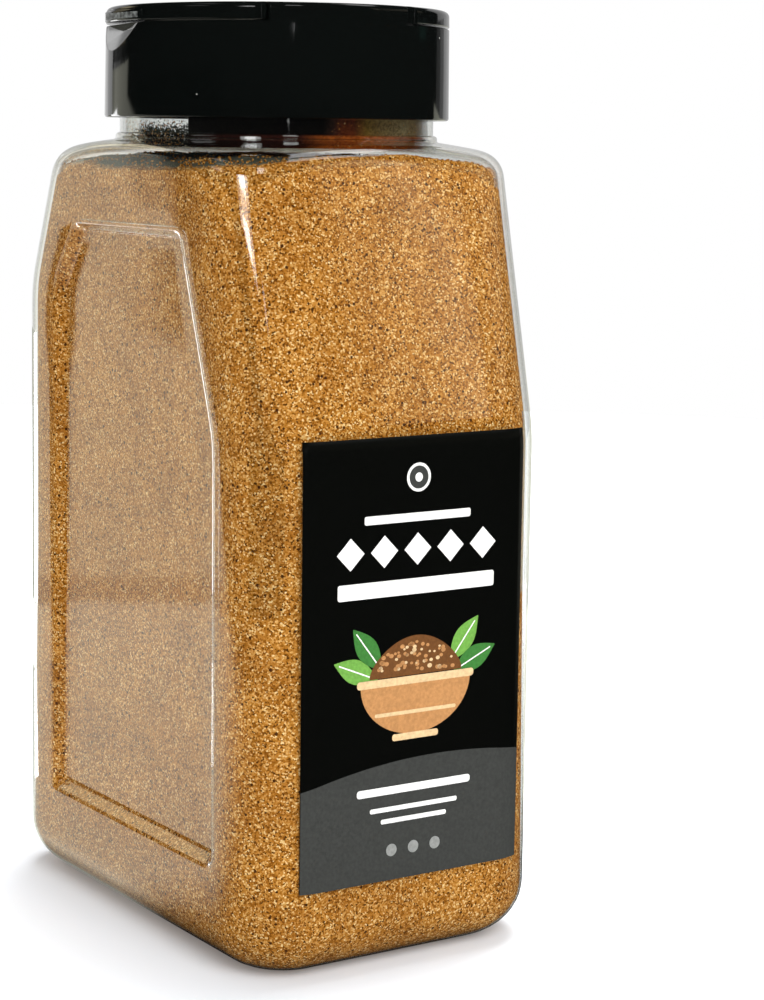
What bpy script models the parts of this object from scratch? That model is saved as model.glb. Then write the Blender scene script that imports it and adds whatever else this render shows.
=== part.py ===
"""Ground nutmeg in a clear grip-sided spice jar with a black two-flap screw cap.

The jar stands on its base, with +Z up and the origin at the middle of the base. The label is on
the -Y side, the grip recesses are on the -X and +X sides, and the cap's bar is turned a little
from the label. Sizes are in millimetres and are turned into metres where a mesh is made.
"""

import math

import bmesh
import bpy
from mathutils import Vector, noise

MM = 0.001

# Jar body: a rounded rectangle in plan that narrows from front to back above two kinks.
HALF_WIDTH = 34.3
CORNER_RADIUS = 14.0
BASE_ROUNDING = 11.0
WALL = 1.2
BASE_HALF_DEPTH = 50.75
FRONT_KINK_DEPTH = 49.8
FRONT_KINK_Z = 100.5
BACK_KINK_DEPTH = 50.5
BACK_KINK_Z = 125.0
SHOULDER_Z = 147.0
SHOULDER_FRONT_DEPTH = 39.1
SHOULDER_BACK_DEPTH = 41.7
FRONT_WALL = ((0.0, BASE_HALF_DEPTH), (FRONT_KINK_Z, FRONT_KINK_DEPTH), (SHOULDER_Z, SHOULDER_FRONT_DEPTH))
BACK_WALL = ((0.0, BASE_HALF_DEPTH), (BACK_KINK_Z, BACK_KINK_DEPTH), (SHOULDER_Z, SHOULDER_BACK_DEPTH))

# Shoulder: a shallow dome round the neck, with its edge rounded most at the corners.
DOME_TOP_Z = 155.0
DOME_TOP_RADIUS = 32.0
DOME_SLOPE = 0.14
DOME_DROOP = 0.003
FACE_EDGE_ROUNDING = 2.2
CORNER_EDGE_ROUNDING = 4.2
CORNER_REACH = (38.0, 47.0)

# Neck, open at the top, with a bead round its foot.
NECK_RADIUS = 31.0
NECK_BEAD = 0.8
NECK_BEAD_HEIGHT = 1.4
NECK_TOP_Z = 174.8

# Grip recess in each side wall.
GRIP_BOTTOM_Z = 20.0
GRIP_TOP_Z = 138.4
GRIP_DEPTH = 2.5
GRIP_SLOPE_RUN = 2.2
GRIP_FRONT_EDGE = ((0.0, -34.6), (FRONT_KINK_Z, -33.6), (GRIP_TOP_Z, -20.6), (SHOULDER_Z, -19.6))
GRIP_BACK_EDGE = ((0.0, 31.3), (BACK_KINK_Z, 31.3), (GRIP_TOP_Z, 21.4), (SHOULDER_Z, 20.0))

# Label, wrapped on the front wall.
LABEL_LEFT_X = -24.4
LABEL_RIGHT_X = 25.6
LABEL_BOTTOM_Z = 17.8
LABEL_TOP_Z = 101.7
LABEL_THICKNESS = 0.25

# Ground nutmeg: it fills the jar up into the shoulder, with an uneven top.
FILL_EDGE_Z = 149.6
FILL_FRONT_RISE = 2.3
FILL_MIDDLE_Z = 152.2
FILL_EDGE_WAVE = 1.0
FILL_WAVE_SIZE = 14.0
FILL_WAVE_START = Vector((3.1, 7.7, 0.4))
FILL_TOP_BUMP = 0.8
FILL_BUMP_SIZE = 9.0

# Cap: a skirt and deck with a raised bar across the middle and a flap on each side of it.
CAP_RADIUS = 34.0
CAP_TOP_RADIUS = 33.7
CAP_BOTTOM_Z = 159.2
CAP_TOP_Z = 180.3
CAP_INNER_RADIUS = 31.6
CAP_RIM_ROUNDING = 1.1
CAP_TURN = math.radians(-6.0)
DECK_Z = 176.9
DECK_THICKNESS = 1.4
BAR_LEFT = -16.1
BAR_RIGHT = 11.6
TAB_HALF_WIDTH = 9.0
TAB_HEIGHT = 2.1
TAB_STAND_OUT = 0.45
TAB_CHAMFER = 0.3
SCALLOP_RADIUS = 9.2
SCALLOP_FLAT = 32.5
SCALLOP_DROP = 5.5
HINGE_NOTCH_RADIUS = 1.6

GAP = 0.3

# Mesh fineness.
CORNER_STEPS = 6
FRONT_STEPS = 6
GRIP_STEPS = 3
TURN_STEPS = 64
FILL_EDGE_STEPS = 3
FILL_TOP_STEPS = 5
LABEL_STEPS = 16


def clear_scene():
    for old in list(bpy.data.objects):
        bpy.data.objects.remove(old, do_unlink=True)


def new_collection(name):
    made = bpy.data.collections.new(name)
    bpy.context.scene.collection.children.link(made)
    return made


def plain_material(name, colour, roughness, transmission=0.0, alpha=1.0):
    made = bpy.data.materials.new(name)
    made.use_nodes = True
    shader = made.node_tree.nodes["Principled BSDF"]
    shader.inputs["Base Color"].default_value = (*colour, 1.0)
    shader.inputs["Roughness"].default_value = roughness
    shader.inputs["Metallic"].default_value = 0.0
    shader.inputs["Transmission Weight"].default_value = transmission
    shader.inputs["Alpha"].default_value = alpha
    return made


def between(z, stops):
    """The value at z on the straight runs that join the stops."""
    for (low, first), (high, second) in zip(stops, stops[1:]):
        if z <= high:
            share = max(0.0, (z - low) / (high - low))
            return first + (second - first) * share
    (low, first), (high, second) = stops[-2:]
    return second + (second - first) * (z - high) / (high - low)


def wall_inset(z, inset):
    """How far the wall stands in from the full outline, with the rounding at the base."""
    if z >= BASE_ROUNDING:
        return inset
    drop = BASE_ROUNDING - z
    return BASE_ROUNDING - math.sqrt(max(0.0, (BASE_ROUNDING - inset) ** 2 - drop * drop))


def grip_spread(inset):
    """How far the recess's edges move out on a surface that lies inset behind the wall."""
    return inset * math.tan(0.5 * math.atan2(GRIP_DEPTH, GRIP_SLOPE_RUN))


def grip_levels(inset):
    spread = grip_spread(inset)
    bottom = GRIP_BOTTOM_Z - spread
    top = GRIP_TOP_Z + spread
    return bottom, bottom + GRIP_SLOPE_RUN, top - GRIP_SLOPE_RUN, top


def grip_share(z, inset):
    """0 on the plain wall and 1 on the recess's floor, by height."""
    outer_low, inner_low, inner_high, outer_high = grip_levels(inset)
    rising = (z - outer_low) / (inner_low - outer_low)
    falling = (outer_high - z) / (outer_high - inner_high)
    return max(0.0, min(1.0, rising, falling))


def side_wall(z, inset, depth_front, depth_back, radius):
    """(y, recess share) of the columns on the +X side, from front to back, with the ends left out."""
    spread = grip_spread(inset)
    front = between(z, GRIP_FRONT_EDGE) - spread
    back = between(z, GRIP_BACK_EDGE) + spread
    front = max(front, radius - depth_front + 1.0)
    back = min(back, depth_back - radius - 1.0)
    inner_front = front + GRIP_SLOPE_RUN
    inner_back = back - GRIP_SLOPE_RUN
    columns = [(front, 0.0)]
    for step in range(GRIP_STEPS + 1):
        columns.append((inner_front + (inner_back - inner_front) * step / GRIP_STEPS, 1.0))
    columns.append((back, 0.0))
    return columns


def wall_ring(z, inset=0.0):
    """The wall's outline at one height, anticlockwise from the front right corner."""
    pulled = wall_inset(z, inset)
    width = HALF_WIDTH - pulled
    front = between(z, FRONT_WALL) - pulled
    back = between(z, BACK_WALL) - pulled
    radius = CORNER_RADIUS - pulled * 0.75
    recess = GRIP_DEPTH * grip_share(z, inset)
    side = side_wall(z, inset, front, back, radius)
    corners = ((width, -front, -90), (width, back, 0), (-width, back, 90), (-width, -front, 180))
    ring = []
    for number, (corner_x, corner_y, start) in enumerate(corners):
        centre_x = corner_x - math.copysign(radius, corner_x)
        centre_y = corner_y - math.copysign(radius, corner_y)
        for step in range(CORNER_STEPS + 1):
            angle = math.radians(start + 90 * step / CORNER_STEPS)
            ring.append((centre_x + radius * math.cos(angle), centre_y + radius * math.sin(angle)))
        if number == 0:
            ring += [(width - recess * share, y) for y, share in side]
        elif number == 2:
            ring += [(recess * share - width, y) for y, share in reversed(side)]
        else:
            reach = width - radius
            direction = -1 if number == 1 else 1
            for step in range(1, FRONT_STEPS):
                ring.append((direction * reach * (2 * step / FRONT_STEPS - 1), corner_y))
    return [Vector((x, y, z)) for x, y in ring]


def dome_height(reach, inset=0.0):
    out = reach + inset - DOME_TOP_RADIUS
    return DOME_TOP_Z - inset - DOME_SLOPE * out - DOME_DROOP * out * out


def edge_rounding(reach):
    near, far = CORNER_REACH
    share = max(0.0, min(1.0, (reach - near) / (far - near)))
    return FACE_EDGE_ROUNDING + (CORNER_EDGE_ROUNDING - FACE_EDGE_ROUNDING) * share


def shoulder_column(index, rings, inset):
    """Points of one column from the top of the wall, over the rounded edge, to the foot of the neck."""
    reach = rings(SHOULDER_Z)[index].to_2d().length
    crest = dome_height(reach, inset)
    rounding = edge_rounding(reach + inset)
    start = rings(crest - rounding)[index]
    corner = rings(crest)[index]
    outward = corner.to_2d().normalized()
    end_reach = corner.to_2d().length - rounding
    end = Vector((*(outward * end_reach), dome_height(end_reach, inset)))
    steps = 4
    column = []
    for step in range(steps + 1):
        t = step / steps
        column.append(start * (1 - t) ** 2 + corner * (2 * t * (1 - t)) + end * t * t)
    foot = NECK_RADIUS + NECK_BEAD - inset
    column.append(Vector((*(outward * foot), dome_height(foot, inset))))
    return column


def shoulder_columns(inset):
    levels = {}

    def rings(z):
        key = round(z, 6)
        if key not in levels:
            levels[key] = wall_ring(z, inset)
        return levels[key]

    return [shoulder_column(index, rings, inset) for index in range(len(rings(SHOULDER_Z)))]


def wall_levels(inset):
    """Heights of the rings up the wall, closest in the base's rounding."""
    base_steps = 4
    levels = []
    for step in range(1, base_steps + 1):
        angle = 0.5 * math.pi * step / base_steps
        levels.append(BASE_ROUNDING - (BASE_ROUNDING - inset) * math.cos(angle))
    outer_low, inner_low, inner_high, outer_high = grip_levels(inset)
    return levels + [outer_low, inner_low, FRONT_KINK_Z, BACK_KINK_Z, inner_high, outer_high]


def add_ring(mesh, points):
    return [mesh.verts.new(point * MM) for point in points]


def join_rings(mesh, lower, upper):
    count = len(lower)
    for index in range(count):
        after = (index + 1) % count
        mesh.faces.new((lower[index], lower[after], upper[after], upper[index]))


def finish_object(name, mesh, collection, material):
    data = bpy.data.meshes.new(name)
    mesh.normal_update()
    mesh.to_mesh(data)
    mesh.free()
    data.materials.append(material)
    made = bpy.data.objects.new(name, data)
    collection.objects.link(made)
    return made


def smooth(made, degrees=30):
    made.data.shade_smooth()
    made.data.set_sharp_from_angle(angle=math.radians(degrees))


def make_jar(collection):
    """The blown jar: an outer skin, closed at the base and open at the neck, with the wall added inwards."""
    mesh = bmesh.new()
    base = add_ring(mesh, wall_ring(0.0))
    mesh.faces.new(list(reversed(base)))
    last = base
    for z in wall_levels(0.0):
        ring = add_ring(mesh, wall_ring(z))
        join_rings(mesh, last, ring)
        last = ring
    columns = shoulder_columns(0.0)
    for step in range(len(columns[0])):
        ring = add_ring(mesh, [column[step] for column in columns])
        join_rings(mesh, last, ring)
        last = ring
    foot = [column[-1] for column in columns]
    bead_top = foot[0].z + NECK_BEAD_HEIGHT
    neck = (
        (NECK_RADIUS + NECK_BEAD, bead_top - 0.5),
        (NECK_RADIUS, bead_top),
        (NECK_RADIUS, NECK_TOP_Z),
    )
    for radius, z in neck:
        ring = add_ring(mesh, [Vector((*(point.to_2d().normalized() * radius), z)) for point in foot])
        join_rings(mesh, last, ring)
        last = ring
    clear = plain_material("clear_pet", (0.93, 0.95, 0.94), 0.04, 1.0, 0.3)
    jar = finish_object("jar", mesh, collection, clear)
    wall = jar.modifiers.new("wall", "SOLIDIFY")
    wall.thickness = WALL * MM
    wall.offset = -1.0
    wall.use_even_offset = True
    smooth(jar)
    return jar


def fill_edge_height(point):
    """The height of the fill along the wall: a slow wave, higher towards the front."""
    place = Vector((point.x, point.y, 0.0)) / FILL_WAVE_SIZE
    front = max(0.0, -point.y / SHOULDER_FRONT_DEPTH)
    wave = FILL_EDGE_WAVE * noise.noise(place + FILL_WAVE_START)
    return FILL_EDGE_Z + FILL_FRONT_RISE * front ** 2 + wave


def skin_point(columns, index, z, inset):
    """Where one column of the wall and shoulder passes the height z."""
    column = columns[index]
    if z <= column[0].z:
        return wall_ring(z, inset)[index]
    for low, high in zip(column, column[1:]):
        if z <= high.z:
            return low.lerp(high, (z - low.z) / (high.z - low.z))
    return column[-1]


def fill_top_ring(edge, share):
    """A ring of the uneven top: share is 1 along the wall and 0 in the middle."""
    ring = []
    for point in edge:
        place = Vector((point.x * share, point.y * share, 0.0))
        bump = FILL_TOP_BUMP * noise.noise(place / FILL_BUMP_SIZE)
        height = FILL_MIDDLE_Z + (point.z - FILL_MIDDLE_Z) * share ** 2 + bump
        ring.append(place + Vector((0.0, 0.0, height)))
    return ring


def make_fill(collection):
    """The ground nutmeg, just inside the wall, with an uneven top."""
    inset = WALL + GAP
    columns = shoulder_columns(inset)
    heights = [fill_edge_height(column[0]) for column in columns]
    start = wall_levels(inset)[-1]
    rings = [wall_ring(z, inset) for z in wall_levels(inset)]
    for step in range(1, FILL_EDGE_STEPS + 1):
        share = step / FILL_EDGE_STEPS
        rings.append([
            skin_point(columns, index, start + (height - start) * share, inset)
            for index, height in enumerate(heights)
        ])
    edge = rings[-1]
    rings += [fill_top_ring(edge, 1.0 - step / FILL_TOP_STEPS) for step in range(1, FILL_TOP_STEPS)]
    mesh = bmesh.new()
    last = add_ring(mesh, wall_ring(inset, inset))
    mesh.faces.new(list(reversed(last)))
    for points in rings:
        ring = add_ring(mesh, points)
        join_rings(mesh, last, ring)
        last = ring
    peak = mesh.verts.new(Vector((0.0, 0.0, FILL_MIDDLE_Z)) * MM)
    for index, vert in enumerate(last):
        mesh.faces.new((vert, last[(index + 1) % len(last)], peak))
    powder = plain_material("ground_nutmeg", (0.42, 0.235, 0.105), 0.9)
    fill = finish_object("ground_nutmeg", mesh, collection, powder)
    smooth(fill)
    return fill


def make_label(collection):
    """A thin wrapped sheet that stands a hair off the front wall."""
    flat = HALF_WIDTH - CORNER_RADIUS
    mesh = bmesh.new()
    grid = []
    for z in (LABEL_BOTTOM_Z, FRONT_KINK_Z, LABEL_TOP_Z):
        depth = between(z, FRONT_WALL)
        line = []
        for column in range(LABEL_STEPS + 1):
            x = LABEL_LEFT_X + (LABEL_RIGHT_X - LABEL_LEFT_X) * column / LABEL_STEPS
            past = max(0.0, abs(x) - flat)
            away = CORNER_RADIUS - math.sqrt(CORNER_RADIUS ** 2 - past ** 2)
            line.append(mesh.verts.new(Vector((x, away - depth - GAP, z)) * MM))
        grid.append(line)
    for lower, upper in zip(grid, grid[1:]):
        for column in range(LABEL_STEPS):
            mesh.faces.new((lower[column], lower[column + 1], upper[column + 1], upper[column]))
    paper = plain_material("label_paper", (0.012, 0.012, 0.012), 0.5)
    label = finish_object("label", mesh, collection, paper)
    sheet = label.modifiers.new("thickness", "SOLIDIFY")
    sheet.thickness = LABEL_THICKNESS * MM
    sheet.offset = 1.0
    return label


def turned(name, profile, collection, material, steps=TURN_STEPS):
    """A profile of (radius, z) turned about the Z axis. It runs down the outer side."""
    data = bpy.data.meshes.new(name)
    points = [(radius * MM, 0.0, z * MM) for radius, z in profile]
    data.from_pydata(points, [(index, index + 1) for index in range(len(points) - 1)], [])
    data.materials.append(material)
    made = bpy.data.objects.new(name, data)
    collection.objects.link(made)
    screw = made.modifiers.new("turn", "SCREW")
    screw.axis = "Z"
    screw.steps = steps
    screw.render_steps = steps
    screw.use_merge_vertices = True
    screw.merge_threshold = 0.00001
    return made


def block(name, low, high, collection):
    """A box between two corners."""
    mesh = bmesh.new()
    bmesh.ops.create_cube(mesh, size=1.0)
    for vert in mesh.verts:
        for axis in range(3):
            vert.co[axis] = (low[axis] if vert.co[axis] < 0 else high[axis]) * MM
    data = bpy.data.meshes.new(name)
    mesh.to_mesh(data)
    mesh.free()
    made = bpy.data.objects.new(name, data)
    collection.objects.link(made)
    return made


def rod(name, radius, length, turn, place, collection, steps=32):
    """A cylinder used as a cutter, turned and placed."""
    mesh = bmesh.new()
    bmesh.ops.create_cone(
        mesh, cap_ends=True, segments=steps, radius1=radius * MM, radius2=radius * MM, depth=length * MM
    )
    data = bpy.data.meshes.new(name)
    mesh.to_mesh(data)
    mesh.free()
    made = bpy.data.objects.new(name, data)
    made.rotation_euler = turn
    made.location = Vector(place) * MM
    collection.objects.link(made)
    return made


def hide_cutter(cutter, axis):
    cutter.hide_render = True
    cutter.display_type = "WIRE"
    cutter.parent = axis


def combine(target, other, operation):
    step = target.modifiers.new(other.name, "BOOLEAN")
    step.operation = operation
    step.object = other
    step.solver = "EXACT"


def rim_profile(low, high):
    """A disc's profile between two heights, with a rounded upper rim and a slightly domed top."""
    dome = 0.35
    share = (low - CAP_BOTTOM_Z) / (CAP_TOP_Z - CAP_BOTTOM_Z)
    low_radius = CAP_RADIUS + (CAP_TOP_RADIUS - CAP_RADIUS) * share
    profile = [(0.0, high + dome)]
    steps = 4
    for step in range(steps + 1):
        angle = 0.5 * math.pi * (1 - step / steps)
        across = CAP_TOP_RADIUS - CAP_RIM_ROUNDING * (1 - math.cos(angle))
        profile.append((across, high - CAP_RIM_ROUNDING * (1 - math.sin(angle))))
    return profile + [(low_radius, low), (0.0, low)]


def make_cap(collection, cutters, axis):
    """The skirt and deck in one, with the raised bar and a thumb scallop under each tab."""
    black = plain_material("black_polypropylene", (0.008, 0.009, 0.009), 0.12)
    deck_under = DECK_Z - DECK_THICKNESS
    share = (DECK_Z - CAP_BOTTOM_Z) / (CAP_TOP_Z - CAP_BOTTOM_Z)
    deck_radius = CAP_RADIUS + (CAP_TOP_RADIUS - CAP_RADIUS) * share
    profile = [
        (0.0, DECK_Z),
        (deck_radius, DECK_Z),
        (CAP_RADIUS, CAP_BOTTOM_Z),
        (CAP_INNER_RADIUS, CAP_BOTTOM_Z),
        (CAP_INNER_RADIUS, deck_under),
        (0.0, deck_under),
    ]
    cap = turned("cap", profile, collection, black)
    cap.parent = axis
    bar = turned("bar_disc", rim_profile(DECK_Z - 0.5, CAP_TOP_Z), cutters, black)
    strip = block(
        "bar_strip",
        (BAR_LEFT, -2 * CAP_RADIUS, DECK_Z - 2.0),
        (BAR_RIGHT, 2 * CAP_RADIUS, CAP_TOP_Z + 2.0),
        cutters,
    )
    hide_cutter(strip, axis)
    combine(bar, strip, "INTERSECT")
    hide_cutter(bar, axis)
    combine(cap, bar, "UNION")
    for side, sign in (("left", -1), ("right", 1)):
        scallop = rod(
            f"scallop_{side}",
            SCALLOP_RADIUS,
            10.0,
            (0.0, math.radians(90), 0.0),
            (sign * (SCALLOP_FLAT + 5.0), 0.0, DECK_Z - SCALLOP_DROP + SCALLOP_RADIUS),
            cutters,
        )
        hide_cutter(scallop, axis)
        combine(cap, scallop, "DIFFERENCE")
    smooth(cap)
    return cap


def make_tab(side, sign, low, cutters, axis):
    """The finger tab: a short stretch of a slightly larger disc, with its ends cut square."""
    reach = CAP_TOP_RADIUS + TAB_STAND_OUT
    high = low + TAB_HEIGHT
    profile = [
        (0.0, high),
        (reach - TAB_CHAMFER, high),
        (reach, high - TAB_CHAMFER),
        (reach, low + TAB_CHAMFER),
        (reach - TAB_CHAMFER, low),
        (0.0, low),
    ]
    disc = turned(f"tab_{side}", profile, cutters, bpy.data.materials["black_polypropylene"])
    inner = sign * (CAP_TOP_RADIUS - 3.0)
    outer = sign * 2 * CAP_RADIUS
    ends = block(
        f"tab_ends_{side}",
        (min(inner, outer), -TAB_HALF_WIDTH, low - 5.0),
        (max(inner, outer), TAB_HALF_WIDTH, low + 5.0),
        cutters,
    )
    hide_cutter(ends, axis)
    combine(disc, ends, "INTERSECT")
    hide_cutter(disc, axis)
    return disc


def make_flap(side, hinge, collection, cutters, axis):
    """One hinged flap: the part of the top disc beyond the bar, with a finger tab on its rim."""
    sign = math.copysign(1.0, hinge)
    black = bpy.data.materials["black_polypropylene"]
    low = DECK_Z + GAP
    flap = turned(f"flap_{side}", rim_profile(low, CAP_TOP_Z), collection, black)
    flap.parent = axis
    near = hinge + sign * GAP
    far = sign * 2 * CAP_RADIUS
    keep = block(
        f"keep_{side}",
        (min(near, far), -2 * CAP_RADIUS, low - 5.0),
        (max(near, far), 2 * CAP_RADIUS, CAP_TOP_Z + 5.0),
        cutters,
    )
    hide_cutter(keep, axis)
    combine(flap, keep, "INTERSECT")
    combine(flap, make_tab(side, sign, low, cutters, axis), "UNION")
    chord = math.sqrt(CAP_TOP_RADIUS ** 2 - hinge ** 2)
    for end, direction in (("front", -1), ("back", 1)):
        notch = rod(
            f"notch_{side}_{end}",
            HINGE_NOTCH_RADIUS,
            20.0,
            (0.0, 0.0, 0.0),
            (hinge + sign * HINGE_NOTCH_RADIUS, direction * chord, CAP_TOP_Z),
            cutters,
            steps=16,
        )
        hide_cutter(notch, axis)
        combine(flap, notch, "DIFFERENCE")
    smooth(flap)
    return flap


def main():
    clear_scene()
    collection = new_collection("ground_nutmeg_jar")
    cutters = new_collection("cutters")
    axis = bpy.data.objects.new("cap_axis", None)
    axis.rotation_euler = (0.0, 0.0, CAP_TURN)
    collection.objects.link(axis)
    make_jar(collection)
    make_fill(collection)
    make_label(collection)
    make_cap(collection, cutters, axis)
    for side, hinge in (("left", BAR_LEFT), ("right", BAR_RIGHT)):
        make_flap(side, hinge, collection, cutters, axis)


main()
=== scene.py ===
"""The looks of a spice jar of ground nutmeg: clear blown jar, powder, printed label and two-flap cap.

Sizes are in millimetres and are turned into metres where a mesh is made. The jar's front, with the
label, faces -Y.
"""

import math
import random
from functools import partial

import bmesh
import bpy
from mathutils import Euler, Matrix, Vector, noise
from mathutils.bvhtree import BVHTree


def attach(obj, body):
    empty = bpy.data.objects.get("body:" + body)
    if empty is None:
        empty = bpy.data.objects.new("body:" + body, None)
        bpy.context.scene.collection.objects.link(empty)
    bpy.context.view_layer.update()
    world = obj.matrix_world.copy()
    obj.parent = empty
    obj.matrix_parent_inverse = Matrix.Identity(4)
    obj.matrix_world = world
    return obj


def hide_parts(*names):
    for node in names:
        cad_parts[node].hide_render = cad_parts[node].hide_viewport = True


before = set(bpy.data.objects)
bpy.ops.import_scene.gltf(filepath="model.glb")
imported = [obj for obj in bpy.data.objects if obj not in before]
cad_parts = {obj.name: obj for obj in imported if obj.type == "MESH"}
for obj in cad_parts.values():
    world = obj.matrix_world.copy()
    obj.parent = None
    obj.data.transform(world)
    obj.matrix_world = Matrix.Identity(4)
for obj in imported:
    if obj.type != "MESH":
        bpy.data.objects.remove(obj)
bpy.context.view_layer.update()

MM = 0.001

# The jar's own sizes, as in its solids.
HALF_WIDTH = 34.3
CORNER_RADIUS = 14.0
BASE_ROUNDING = 11.0
WALL = 1.2
BASE_HALF_DEPTH = 50.75
FRONT_KINK_DEPTH = 49.8
FRONT_KINK_Z = 100.5
BACK_KINK_DEPTH = 50.5
BACK_KINK_Z = 125.0
SHOULDER_Z = 147.0
SHOULDER_FRONT_DEPTH = 39.1
SHOULDER_BACK_DEPTH = 41.7
FRONT_WALL = ((0.0, BASE_HALF_DEPTH), (FRONT_KINK_Z, FRONT_KINK_DEPTH), (SHOULDER_Z, SHOULDER_FRONT_DEPTH))
BACK_WALL = ((0.0, BASE_HALF_DEPTH), (BACK_KINK_Z, BACK_KINK_DEPTH), (SHOULDER_Z, SHOULDER_BACK_DEPTH))
DOME_TOP_Z = 155.0
DOME_TOP_RADIUS = 32.0
DOME_SLOPE = 0.14
DOME_DROOP = 0.003
FACE_EDGE_ROUNDING = 2.2
CORNER_EDGE_ROUNDING = 4.2
CORNER_REACH = (38.0, 47.0)
NECK_RADIUS = 31.0
NECK_BEAD = 0.8
NECK_BEAD_HEIGHT = 1.4
NECK_TOP_Z = 174.8
GRIP_BOTTOM_Z = 20.0
GRIP_TOP_Z = 138.4
GRIP_DEPTH = 2.5
GRIP_SLOPE_RUN = 2.2
GRIP_FRONT_EDGE = ((0.0, -34.6), (FRONT_KINK_Z, -33.6), (GRIP_TOP_Z, -20.6), (SHOULDER_Z, -19.6))
GRIP_BACK_EDGE = ((0.0, 31.3), (BACK_KINK_Z, 31.3), (GRIP_TOP_Z, 21.4), (SHOULDER_Z, 20.0))

# How softly the blown wall turns at its kinks.
KINK_BLEND = 4.0
# How far the recess's front and back edges keep from the rounding of the jar's corners.
GRIP_FRONT_CLEAR = 1.3
GRIP_BACK_CLEAR = 1.0
# Each side of the recess: (run of its slope, fillet at its edges, where the mesh has a line).
GRIP_NEAR = (2.2, 1.05, (-1.05, -0.75, -0.45, -0.1, 0.3, 0.7, 1.1, 1.5, 1.9, 2.4, 2.85, 3.25))
GRIP_FAR = (2.4, 0.5, (-0.5, -0.25, 0.0, 0.3, 0.6, 1.2, 1.8, 2.1, 2.4, 2.65, 2.9))
GRIP_UPPER = (1.5, 0.4, (-0.4, -0.2, 0.0, 0.25, 0.5, 0.75, 1.0, 1.3, 1.5, 1.7, 1.9))
GRIP_LOWER = (2.2, 0.6, (-0.6, -0.3, 0.0, 0.35, 0.7, 1.1, 1.5, 1.85, 2.2, 2.5, 2.8))
GRIP_FLOOR_STEPS = 9
CORNER_STEPS = 12
FACE_STEPS = 12
BASE_STEPS = 12
SHOULDER_STEPS = 10
# The underside inside the foot ring: its share of the outline each way, and how far it is raised.
FOOT_RING_SHARE = (0.83, 0.90)
FOOT_RING_RISE = 0.3

# Ground nutmeg. It reaches into the wall: its side lies FILL_BASE_INSET behind the jar's face below the
# first height of FILL_INSET_RISE, and FILL_INSET behind it above the second. FILL_LINE is the height that
# it reaches on the wall, by the angle round the jar from the front, in degrees and towards +X.
FILL_INSET = 1.1
FILL_BASE_INSET = 0.35
FILL_INSET_RISE = (8.0, 70.0)
FILL_LINE = (
    (-180, 150.2), (-135, 149.3), (-126, 149.4), (-119, 150.1), (-112, 149.2), (-92, 149.5), (-70, 149.2),
    (-50, 149.5), (-38, 150.3), (-30, 151.1), (-22, 152.1), (8, 152.9), (16, 152.3), (32, 151.0),
    (40, 149.8), (60, 149.9), (90, 150.5), (135, 149.7), (180, 150.2),
)
FILL_MIDDLE_Z = 152.2
FILL_TOP_RINGS = 20
FILL_HEIGHT_STEPS = 6
# How flat the top stays towards its edge, and the share of its width over which its lumps set in.
FILL_TOP_FLATNESS = 5
TOP_LUMPS_FADE = 0.1
# The ripples of the line on the wall are (size, height, start), and the lumps of the top (size, height).
LINE_RIPPLES = ((3.5, 0.35, 3.0), (1.4, 0.18, 9.0))
TOP_LUMPS = ((9.0, 0.7), (3.2, 0.45), (1.3, 0.25))

# Coarser grains: how many, and their least and greatest radius. The loose ones drop from GRAIN_DROP_Z
# on the top, and none lies below GRAIN_LOWEST_Z.
LOOSE_GRAINS = 1500
LOOSE_GRAIN_SIZE = (0.14, 0.34)
GRAIN_DROP_Z = 165.0
GRAIN_LOWEST_Z = 146.0
NECK_GRAINS = 700
NECK_GRAIN_SIZE = (0.06, 0.17)
# Where grains cling to the neck, in degrees from the front towards +X, and the share on the left.
NECK_GRAINS_LEFT = (-122, -68)
NECK_GRAINS_RIGHT = (-12, 70)
NECK_GRAINS_LEFT_SHARE = 0.7

# Caked dust on the inside of the neck, by the angle from the front towards +X; its near-black middle is
# painted shade under the cap.
# Left of its edge share of its way round it is thin.
NECK_SHEET_LEVELS = (153.7, 154.5, 155.5, 157.0, 158.5, 160.5)
NECK_SHEET_FIRST = -125.0
NECK_SHEET_LAST = 60.0
NECK_SHEET_EDGE_SHARE = 0.319
NECK_SHEET_THICKNESS = 0.08

# Label.
LABEL_LEFT_X = -24.4
LABEL_RIGHT_X = 25.6
LABEL_BOTTOM_Z = 17.8
LABEL_TOP_Z = 101.7
LABEL_THICKNESS = 0.2
LABEL_STAND_OFF = 0.06

# Print. Its shapes lie in layers, and are cut along upright lines where the label bends.
PRINT_LAYER = 0.02
PRINT_SIDE_LINES = (20.3, 21.4, 22.4, 23.3, 24.1, 24.9)
PRINT_INKS = (
    ("white", "#f2f0ea"), ("charcoal", "#3c3d3a"), ("ash", "#8d8e8a"), ("clay", "#b98450"),
    ("sand", "#dcbb8c"), ("bark", "#6e4520"), ("leaf", "#3c7a34"), ("young_leaf", "#6da345"),
)
PRINT_MIDDLE_X = 0.6
GROUND_TOP_Z = 41.0
GROUND_CREST_X = 6.0
GROUND_DROOP = 0.0042
BOWL_RIM_Z = 55.6
BOWL_SIZE = (25.0, 20.0)
HEAP_FOOT_Z = 56.8
HEAP_SIZE = (21.0, 15.0)
HEAP_POINT = 0.25
HEAP_SPECKS = 70
# Leaves: x from the middle, z, turn and ink. Bars: z, size and the rounding of their corners.
LEAVES = (
    (-11.0, 62.5, 128, "leaf"), (11.0, 62.5, 52, "young_leaf"),
    (-13.5, 58.6, 158, "young_leaf"), (13.5, 58.6, 24, "leaf"),
)
BOWL_BANDS = ((55.9, (26.6, 1.5), 0.6), (49.8, (18.5, 0.7), 0.3), (45.2, (10.5, 1.3), 0.5))
LONG_BARS = ((73.6, (35.5, 3.0), 0.5), (86.6, (24.0, 1.6), 0.4))
FOOT_BARS = ((35.2, (26.0, 1.5), 0.6), (31.6, (20.0, 0.9), 0.36), (29.3, (15.0, 0.9), 0.36))

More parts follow.
